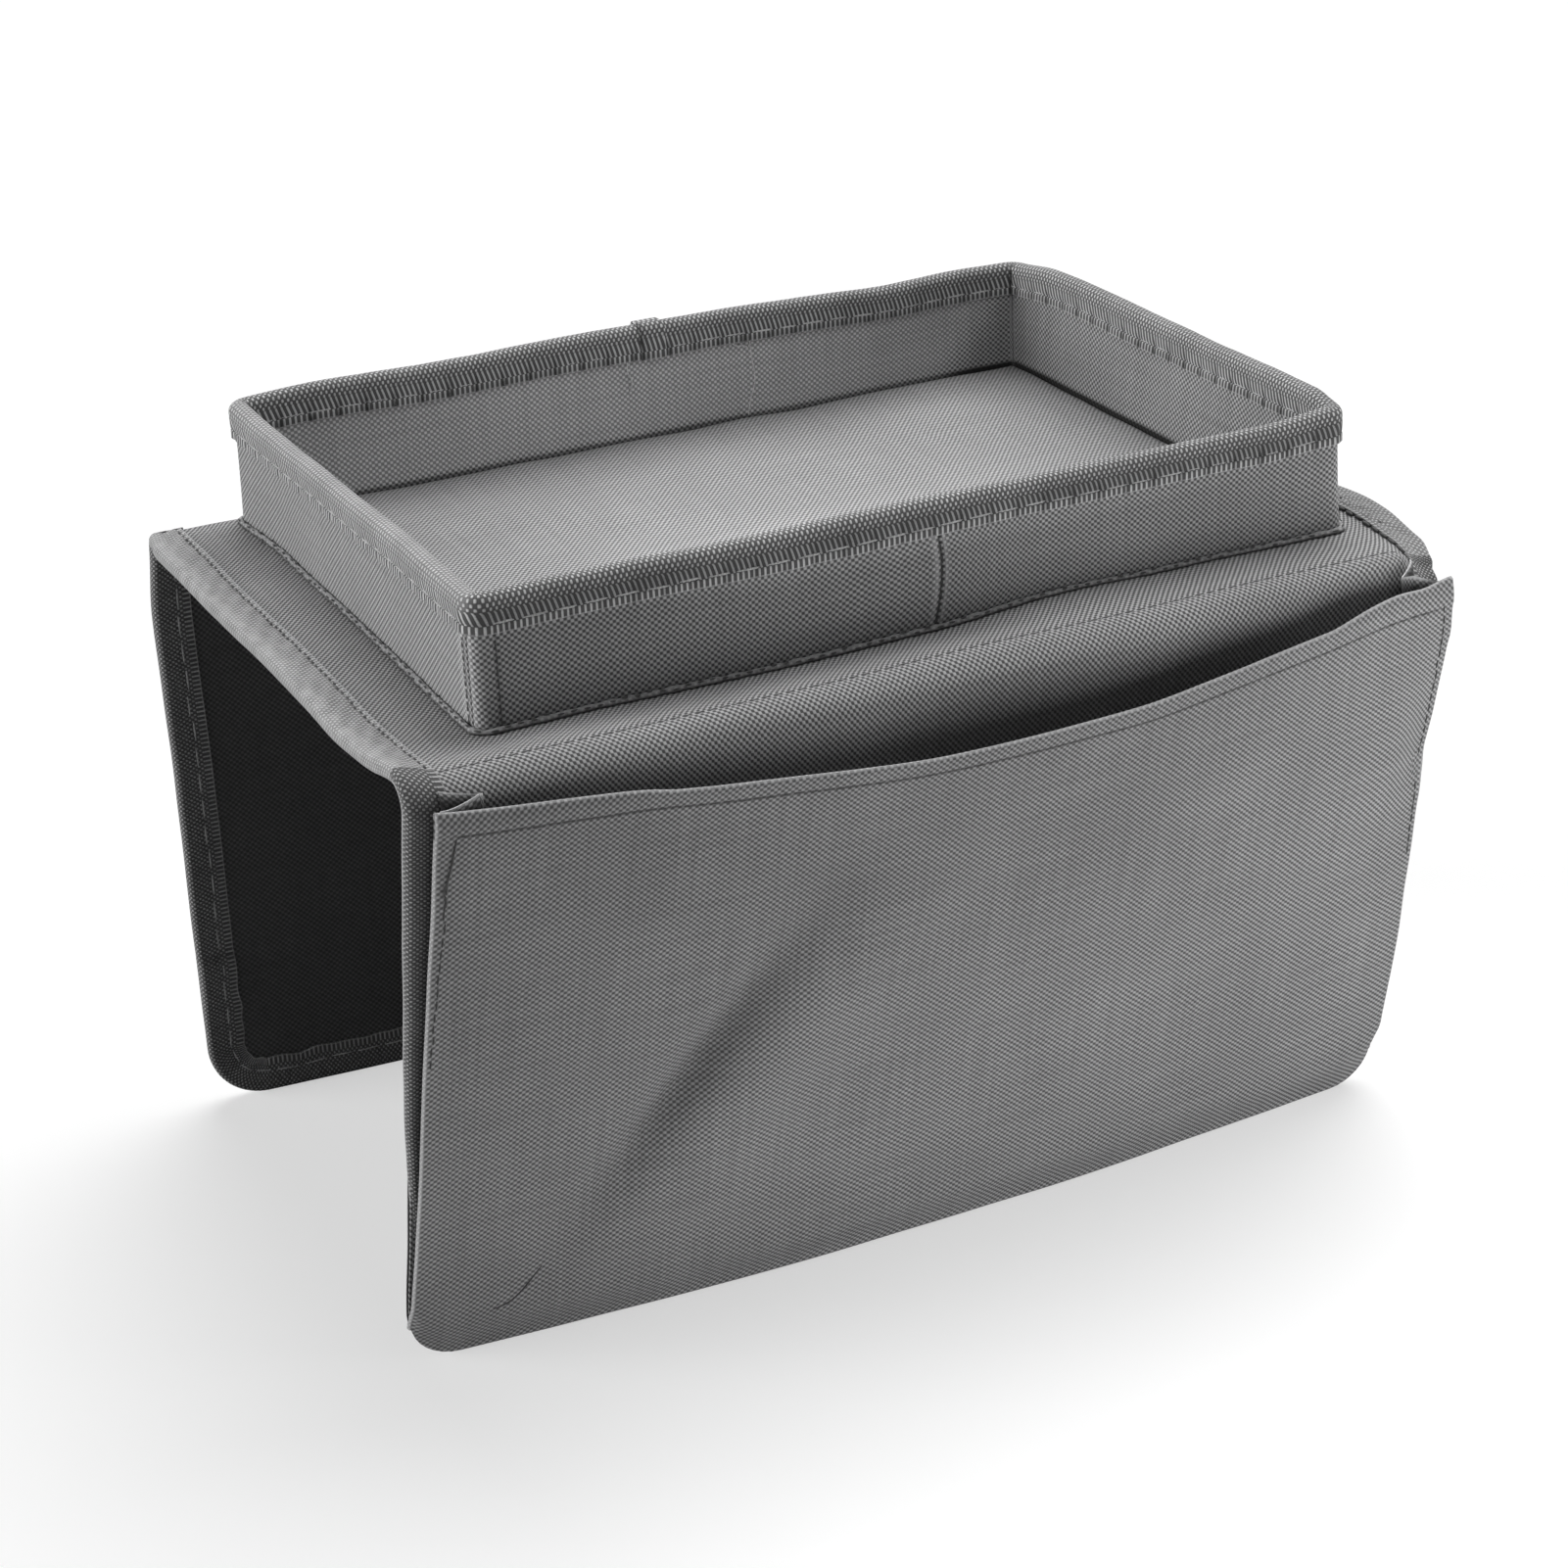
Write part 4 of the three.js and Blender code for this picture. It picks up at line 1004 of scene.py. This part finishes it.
def sag_fold(x, along, from_left, from_fold, angle, reach, width, height):
    """A soft fold that runs down to the left at this many degrees from level, through this place."""
    off_x, off_down = x - left_end - from_left, along - from_fold
    slope, rise = cos(radians(angle)), sin(radians(angle))
    return height * dip(off_x * rise + off_down * slope, 1, width) * dip(off_down * rise - off_x * slope, 1, reach)


def in_pocket(across, down):
    """For a share across (-1 left, 1 right) and down (0 mouth, 1 foot): x, the distance along the flap's cloth, the
    stand-off from its face and the distance below the mouth."""
    x = saddle_middle + across * (saddle_length / 2 - lerp(mouth_inset, lower_inset, down))
    x += (3.5 * down * max(1 - down, 0) + dip(down - 0.24, 3.3, 0.12)) * ease(across, 0.5, 1)
    fullness = max(1 - across**2, 0) ** 1.4
    mouth = front_shoulder - mouth_rise + mouth_sag * fullness
    mouth += dip(across - 0.4, 1.7, 0.2) - dip(across + 0.5, 3.7, 0.34) * ease(across, -1, -0.6)
    mouth += 0.45 * ease(-across, 0.1, 0.4) + 0.9 * ease(-across, 0.75, 1) + dip(across + 0.49, 0.75, 0.12)
    mouth += dip(across - 0.94, 1.0, 0.045) - dip(across - 0.8, 0.3, 0.06)
    foot = foot_of_flap(x) - 0.3
    along = lerp(mouth, foot, down)
    belly = mouth_belly * fullness * max(1 - down, 0) ** 1.3
    sag = sag_fold(x, along, 122, 126, 54, 62, 17, 3.4)
    sag -= sag_fold(x, along, 92, 126, 54, 60, 12, 3.6) + sag_fold(x, along, 85, 132, 57, 40, 6, 2.2)
    pulled = 3.2 * ease(across, 0.3, 1) * (max(1 - down, 0) + dip(down - 0.27, 0.7, 0.13))
    off_foot = 1 - ease(along, foot - seam_height, foot)
    stand_off = 0.3 + (lerp(5.0, 3.6, down) - 0.3 + pulled + belly + sag * (1 - across**6)) * off_foot
    return x, along, stand_off, along - mouth


pocket_length = in_pocket(0, 1)[3]


def pocket_shares(u, v):
    """The shares across and down for a place on the pocket's cloth, within its outline."""
    return max(min(u / half_width, 1), -1), max(v, 0) / pocket_length


def pocket_pattern(u, v):
    """The place on the pocket's flat cloth. Over the shoulder the cloth runs further than the flap inside it."""
    _, along, stand_off, _ = in_pocket(*pocket_shares(u, v))
    return u, along - max(front_shoulder - along, 0) * stand_off / front_shoulder_radius + min(v, 0)


def pocket_face(across, down, lift=0.0):
    x, along, stand_off, _ = in_pocket(across, down)
    point, normal, _ = front_face(x, along)
    return point + normal * (stand_off + lift)


def hem_line(across):
    """How far the row of stitches that holds the hem is below the mouth."""
    return 5.0 + 1.0 * ease(across, 0, 0.5) - 1.4 * ease(across, 0.75, 1)


mouth_bend = cloth_thick * pi
# The pocket's finish is the panel's cloth with its tone set darker as painted shade.
pocket_cloth = woven_cloth("pocket_cloth", (0.26, 0.26, 0.263), 0.62, yarns=(1.13, 1.01), slant=(-0.14, 0.26))


def on_pocket(u, v):
    """The panel with its sides rolled in, and beyond the mouth the hem that is turned down behind it."""
    over = max(abs(u) - half_width, 0.0)
    across, down = pocket_shares(u, v)
    normal = front_face(*in_pocket(across, 0)[:2])[1]
    roll = over * (1 if v >= 0 else 0.25)
    turn = min(roll / cloth_thick, pi / 2)
    round_side = Vector((1 if u > 0 else -1, 0, 0)) * cloth_thick * sin(turn)
    round_side -= normal * (cloth_thick * (1 - cos(turn)) + max(roll - cloth_thick * pi / 2, 0))
    if v >= 0:
        row = hem_line(across)
        groove = dip(v - row, 0.35, 0.6) - 0.35 * (1 - ease(v, row, row + 1.4))
        return pocket_face(across, down, cloth_thick - groove + 0.5) + round_side
    if v > -mouth_bend:
        angle = -v / cloth_thick
        up = (pocket_face(across, 0) - pocket_face(across, 0.01)).normalized()
        edge = normal * (cloth_thick * cos(angle) + 0.5) + up * cloth_thick * sin(angle)
        return pocket_face(across, 0) + edge + round_side
    return pocket_face(across, (-v - mouth_bend) / pocket_length, -cloth_thick + 0.3) + round_side


def pocket_painted_light(u, v):
    """Painted highlights on the folded mouth and sides, and painted shade along the hem's row of stitches, in the
    sag fold and over the upper left part.
    """
    across, down = pocket_shares(u, v)
    mouth = dip(max(abs(v + mouth_bend * 0.35) - 0.25, 0), 1, 0.35)
    side = dip(max(half_width + 0.5 - abs(u), 0), 0.8, 0.4) * (v >= 0)
    row = dip(v - hem_line(across), 1, 0.4) * ease(half_width - abs(u), 3, 6)
    x, along, _, _ = in_pocket(across, down)
    crease = sag_fold(x, along, 92, 128, 54, 60, 9, 0.34)
    shade = 0.145 * (1 - ease(v, 40, 160)) * (1 - ease(across, 0.3, 0.9))
    return 0.75 * max(mouth, side) - 0.7 * row - crease - shade


side_fold = [half_width + d for d in (0.35, 0.7, 1.1, 1.6, 2.6)]
panel_columns = [x - saddle_middle for x in flap_columns(lower_inset, front_corners, 3.4)]
panel_columns = [-c for c in reversed(side_fold)] + [-half_width] + panel_columns[1:-1] + [half_width] + side_fold
hem_rows = even(-hem - mouth_bend, -mouth_bend, 1.6) + even(-mouth_bend, 0, mouth_bend / 6)[1:]
lay_cloth(
    "front_pocket_panel", "panel_cloth", "front_pocket", panel_columns,
    hem_rows + even(0, 3.6, 1.2)[1:] + even(4.2, 9.0, 0.55) + even(10.2, pocket_length, 3.0),
    on_pocket, pocket_cloth, turn_over=True, painted_light=pocket_painted_light, pattern=pocket_pattern,
    flat=(2 * half_width / 1000, (pocket_length + hem + mouth_bend) / 1000), held="hung",
    rests_on=["front_flap_cloth_woven", "front_pocket_gusset_left_woven", "front_pocket_gusset_right_woven"],
)


def hem_stitch(s):
    across = -0.965 + s / half_width
    down = hem_line(across) / pocket_length
    return pocket_face(across, down, cloth_thick + 0.35), front_face(*in_pocket(across, 0.05)[:2])[1]


def side_stitch(below, across):
    down = below / pocket_length
    return pocket_face(across, down, cloth_thick + 0.45), front_face(*in_pocket(across, down)[:2])[1]


def left_stitch(s):
    below = 7.5 + s
    return side_stitch(below, -1 + (5.4 - 2.8 * ease(below, 4, 26) - 1.8 * ease(below, 26, 90)) / half_width)


def right_stitch(s):
    below = 3 + s
    return side_stitch(below, 1 - (3.2 - 2.3 * below / 110) / half_width)


for name, length, path in (
    ("mouth", 1.93 * half_width, hem_stitch), ("left", 82, left_stitch), ("right", 104, right_stitch),
):
    sew(
        f"front_pocket_{name}_stitches", "front_pocket", length, 3.6, 0.8, path, dark_thread,
        thick=0.36, wander=0.4,
    )

# ----------------------------------------------------------------------
# Pocket gussets. At each side a strip of the cloth joins the panel to the flap. It is folded inwards on
# a crease, so that it shows at the mouth as a narrow zigzag, with a painted highlight on its folded edges and
# painted shade inside the pleat.
pleat_foot_depth, pleat_setback = 4.5, 1.5
gusset_wide, gusset_long = 34.0, 190.0
gusset_foot = 1 - 22 / in_pocket(-1, 1)[3]
gusset_rows = [0, 0.003, 0.007] + even(0.012, gusset_foot, 0.016)
gusset_shares = even(0, 1 / 3, 1 / 15) + even(1 / 3, 2 / 3, 1 / 30)[1:] + even(2 / 3, 1, 1 / 15)[1:]


def on_gusset(u, v):
    """The strip runs in from the flap's edge to its crease and out again to the panel's edge."""
    share, down = u / gusset_wide, v / gusset_long
    x, along, stand_off, below = in_pocket(-inwards, down)
    near = tape_outside + 0.3 + cloth_thick
    far = stand_off - cloth_thick * (1 - ease(below, hem, 3 * hem)) - 0.3
    crease = min(max((far - near) / 2, 0.15), 0.8)
    apart = max(far - near, 2 * crease)
    depth = lerp(mouth_depth, pleat_foot_depth, down / gusset_foot)
    setback = pleat_setback + flap_setback * (1 - share) * (1 - down / gusset_foot)
    leg = min(share, 1 - share, 1 / 3) * 3
    turn = pi * min(max((share - 1 / 3) * 3, 0), 1)
    reach = setback + (depth - crease) * leg + crease * sin(turn)
    slant = (apart / 2 - crease) * (leg if share < 0.5 else 2 - leg)
    out = near + slant + crease * (1 - cos(turn))
    raised = lerp(at_flap, at_crease, leg) if share < 0.5 else lerp(at_panel, at_crease, leg**1.5)
    point, normal, _ = front_face(x + inwards * reach, along - raised * (1 - ease(down, 0.02, 0.2)))
    slack = 0.5 * noise.noise(Vector((share * 2, down * 7, noise_row)))
    return point + normal * (out + slack * sin(pi * share))


def open_gusset(piece):
    """The gusset spans between the flap and the pocket's panel. This works out two points on the flap, which are
    not used, and bakes the gusset's place into its mesh.
    """
    point, normal, _ = front_face(end + 8 * inwards, 100)
    start, stop = set_down(point + normal * 1.6), set_down(point + normal * 4.2)
    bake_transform(piece)


# For each side: depth of the pleat at the mouth, how much further the flap's edge is set back there, how far
# the strip's top stands above the mouth at the flap, at the crease and at the panel, and the cut's size
for side, end, inwards, noise_row, mouth_depth, flap_setback, (at_flap, at_crease, at_panel), flat, area in (
    ("left", left_end, 1, 5, 12.6, 1.5, (4.7, 2.3, 0.3), (0.028, 0.17), 0.0033),
    ("right", right_end, -1, 9, 9.8, 6.5, (5.85, 0.9, -0.45), (0.021, 0.17), 0.0028),
):
    # Each gusset's top edge is paled as a painted highlight on the fold; below it the cloth is darkened as painted
    # shade inside the pleat.
    lay_cloth(
        f"front_pocket_gusset_{side}", "panel_cloth", open_gusset, [share * gusset_wide for share in gusset_shares],
        [row * gusset_long for row in gusset_rows], on_gusset, pocket_cloth, thick=0.5, turn_over=inwards > 0,
        painted_light=lambda u, v: 1.6 * dip(v, 1, 0.35) - 0.75 * between(v, 0.5, 1.8, 10, 60),
        pattern=lambda u, v: (u, pocket_pattern(-half_width * inwards, v)[1]),
        flat=flat, area=area, held="folded", rests_on=["front_flap_cloth_woven"],
    )

# ----------------------------------------------------------------------
# Rear flap. It folds down just behind the tray and hangs plainly down the other side of the arm, with
# one length of tape bound all round its edge and sewn through.
rear_shoulder_radius = 4.5
rear_hang = hang_flap(rear_fold, 1, rear_shoulder_radius, radians(2), -8.0)
rear_face, rear_shoulder, rear_length = rear_hang
rear_radius = 20.0
bend_at_rear = bend_at("rear_flap", (rear_fold, 0), (rear_fold + rear_shoulder_radius, -5.0))
lay_flap("rear_flap", rear_hang, (rear_radius, rear_radius), tape_outside, bend_at_rear, False)

# The tape's edge runs this far inside the flap's outline.
rear_left, rear_right = left_end + tape_outside, right_end - tape_outside
rear_lower, bend_radius = rear_length - tape_outside, rear_radius - tape_outside
rear_side = rear_lower - bend_radius
rear_arc = bend_radius * pi / 2
rear_straight = rear_right - rear_left - 2 * bend_radius
rear_edge = 2 * rear_side + 2 * rear_arc + rear_straight
# From the fold at the left, round by the foot, in x and along the cloth
rear_path = [
    (rear_side, (rear_left, 0), (0, 1)),
    (rear_arc, (rear_left + bend_radius, rear_side), pi),
    (rear_straight, (rear_left + bend_radius, rear_lower), (1, 0)),
    (rear_arc, (rear_right - bend_radius, rear_side), pi / 2),
    (rear_side + 1, (rear_right, rear_side), (0, -1)),
]
rear_tape_join, rear_row = 159.0, 4.9


def on_rear_tape(s, v):
    (x, along), (out_x, out_down) = follow(rear_path, s, bend_radius, turn=-1)
    ragged = 1.3 * noise.noise(Vector((s / 8, 1, 3))) * ease(s, rear_tape_join - 20, rear_tape_join + 30)
    slid = v + ragged * ease(v, last_bend, tape_width)
    point = edge_tape(rear_face, x, -out_x, along, -out_down, slid)
    side = 1 if v < tape_width / 2 else -1
    edge = min(v, tape_width - v)
    lap = 0.7 * between(s - rear_tape_join, -0.4, 0.4, 12, 30)
    pucker = 0.3 * noise.noise(Vector((s / 9, v / 6, 8))) + 0.2 * noise.noise(Vector((s / 3, 2, 8)))
    lift = lap + pucker * (1 - edge / (tape_width / 2)) - dip(edge - rear_row, 0.25, 0.8)
    return point + rear_face(x, along)[1] * side * lift * ease(abs(v - tape_width / 2), 0, 3)


# A painted highlight on the tape's first fold round the flap's edge, and painted shade on its inner half at the step
# where its ends overlap.
def rear_tape_painted_light(s, v):
    return 0.5 * dip(v - first_bend, 1, 1.2) - 0.7 * dip(s - rear_tape_join + 0.6, 1, 0.8) * (v > tape_width / 2)


down_side = run(0, (rear_shoulder, 1.0), (rear_side, 2.4), (rear_side + rear_arc, 1.8))
along_foot = even(rear_side + rear_arc, rear_side + rear_arc + rear_straight, 3.0)
lay_cloth(
    "rear_flap_tape", "binding_tape", bend_at_rear,
    down_side + along_foot[1:] + [rear_edge - c for c in reversed(down_side)][1:],
    tape_rows(), on_rear_tape, flap_tape, painted_light=rear_tape_painted_light,
    flat=(tape_width / 1000, rear_edge / 1000), held="folded", rests_on=["rear_flap_cloth_woven"],
)


def rear_stitch(s):
    (x, along), _ = follow(rear_path, s + 12, bend_radius, turn=-1)
    return on_rear_tape(s + 12, row_at), rear_face(x, along)[1] * outwards


for face, row_at, outwards in (("outer", rear_row, 1), ("inner", tape_width - rear_row, -1)):
    sew(
        f"rear_flap_tape_{face}_stitches", "rear_flap", rear_edge - 24, 8.2, 1.5, rear_stitch,
        pale_thread, wander=0.6,
    )


# ----------------------------------------------------------------------
# Loose thread ends, left where rows of stitching start and stop: two on the rear wall's tape, one that
# runs down the rear wall, and two on the pocket.
def loose_thread(name, points, body, thick=0.22, material=pale_thread):
    curve = bpy.data.curves.new(name, "CURVE")
    curve.dimensions = "3D"
    curve.bevel_depth, curve.bevel_resolution, curve.resolution_u = thick / 1000, 1, 6
    curve.use_fill_caps = True
    strand = curve.splines.new("NURBS")
    strand.points.add(len(points) - 1)
    strand.use_endpoint_u, strand.order_u = True, 3
    for knot, point in zip(strand.points, points):
        knot.co = (*set_down(point), 1)
    curve.materials.append(material)
    piece = add_object(name, curve)
    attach(piece, body)


# Along the wall, out from its lining and up
inner_wall = tray_width / 2 - wall_thick
for name, knots in (
    ("a", ((-9, 1.3, 30), (-10, 1.6, 26), (-7, 1.2, 23), (-8.5, 0.4, 19))),
    ("b", ((31, 1.3, 30), (33, 2, 28), (36, 1.4, 28.5), (38, 0.5, 27))),
    ("c", ((39, 0.4, 29.5), (39.6, 0.3, 22), (41, 0.4, 15), (38, 0.3, 8), (37.4, 0.4, 3.4))),
):
    loose_thread(f"thread_rear_{name}", [(x, inner_wall - out, z) for x, out, z in knots], "tray_and_top")


def above_pocket(x, along, lift):
    """A point this far above the pocket's face, for x and a distance down the flap's cloth."""
    down = 0.5
    for _ in range(8):
        across = (x - saddle_middle) / (saddle_length / 2 - lerp(mouth_inset, lower_inset, down))
        mouth = in_pocket(across, 0)[1]
        down = (along - mouth) / (in_pocket(across, 1)[1] - mouth)
    return pocket_face(across, down, cloth_thick + lift)


foot_knots = (-159.5, 204.2, 0.3), (-155, 203.4, 0.55), (-151, 200.3, 0.6), (-147.5, 196, 0.6), (-143.8, 191, 0.3)
side_knots = (
    (-173.4, 19, 0.5), (-174.6, 26, 0.8), (-176.4, 34, 0.9), (-177.6, 37, 1.0), (-176.4, 39, 0.7), (-177.2, 43, 0.5),
)
for name, knots, thick in (("foot", foot_knots, 0.3), ("side", side_knots, 0.28)):
    points = [above_pocket(*knot) for knot in knots]
    loose_thread(f"thread_pocket_{name}", points, "front_pocket", thick, dark_thread)

# ----------------------------------------------------------------------
# Floor and light. A pale floor, a broad soft light overhead and one low at the left, as in a small
# product studio, and four small lamps: close by on the right, low in front, over the tray and in it.
floor_mesh = bmesh.new()
bmesh.ops.create_grid(floor_mesh, x_segments=1, y_segments=1, size=7)
bmesh.ops.translate(floor_mesh, verts=floor_mesh.verts, vec=(0, 0, -0.0006))
studio, nodes, shader = new_finish("studio_floor")
nodes.fill(shader, {"Base Color": (0.43, 0.43, 0.43, 1), "Roughness": 0.9, "Specular IOR Level": 0.0})
glow = nodes.add("Emission", {"Color": (1, 1, 1, 1), "Strength": 0.56})[0]
both = nodes.add("AddShader", {0: shader.outputs[0], 1: glow})[0]
seen = nodes.add("LightPath", {})["Is Camera Ray"]
surface = nodes.add("MixShader", {0: seen, 1: shader.outputs[0], 2: both})[0]
nodes.fill(nodes.tree.nodes["Material Output"], {"Surface": surface})
hand_over("studio_floor", floor_mesh, studio, smooth=False)

world = bpy.data.worlds.new("studio")
bpy.context.scene.world = world
world.use_nodes = True
nodes = Nodes(world.node_tree)
rays = nodes.add("LightPath", {})
bright = nodes.maths("MAXIMUM", rays["Is Glossy Ray"], rays["Is Transmission Ray"])
bright = nodes.times(nodes.maths("MAXIMUM", rays["Is Camera Ray"], bright), 0.93)
nodes.fill(world.node_tree.nodes["Background"], {"Color": (1, 1, 1, 1), "Strength": nodes.plus(bright, 0.07)})


def add_light(name, kind, towards, energy, **settings):
    """A lamp of this kind that shines against the direction towards."""
    lamp = bpy.data.lights.new(name, kind)
    lamp.energy = energy
    for key, value in settings.items():
        setattr(lamp, key, value)
    holder = add_object(name, lamp)
    holder.rotation_euler = Vector(towards).to_track_quat("Z", "Y").to_euler()
    return holder


def small_lamp(name, at, towards, energy, wide, high):
    way = Vector(at) - Vector(towards)
    holder = add_light(name, "AREA", way, energy, shape="RECTANGLE", size=wide, size_y=high)
    holder.location = at
    holder.visible_camera = False


add_light("overhead", "SUN", (0.42, 0.31, 0.85), 0.97 * pi, angle=radians(55))
add_light("low_left", "SUN", (-0.96, 0.24, 0.27), 0.82 * pi, angle=radians(40))
small_lamp("near_right", (0.32, -0.38, 0.13), (0.1, -0.12, 0.17), 0.68, 0.2, 0.2)
small_lamp("low_front", (-0.02, -0.32, 0.012), (-0.02, -0.17, 0.02), 0.21, 0.36, 0.02)
small_lamp("over_tray", (0.0, -0.06, 0.42), (0.0, 0.1, 0.26), 0.12, 0.12, 0.12)
small_lamp("in_tray", (-0.02, -0.04, 0.238), (-0.02, 0.12, 0.238), 0.05, 0.14, 0.015)
bpy.context.scene.view_settings.view_transform = "Standard"
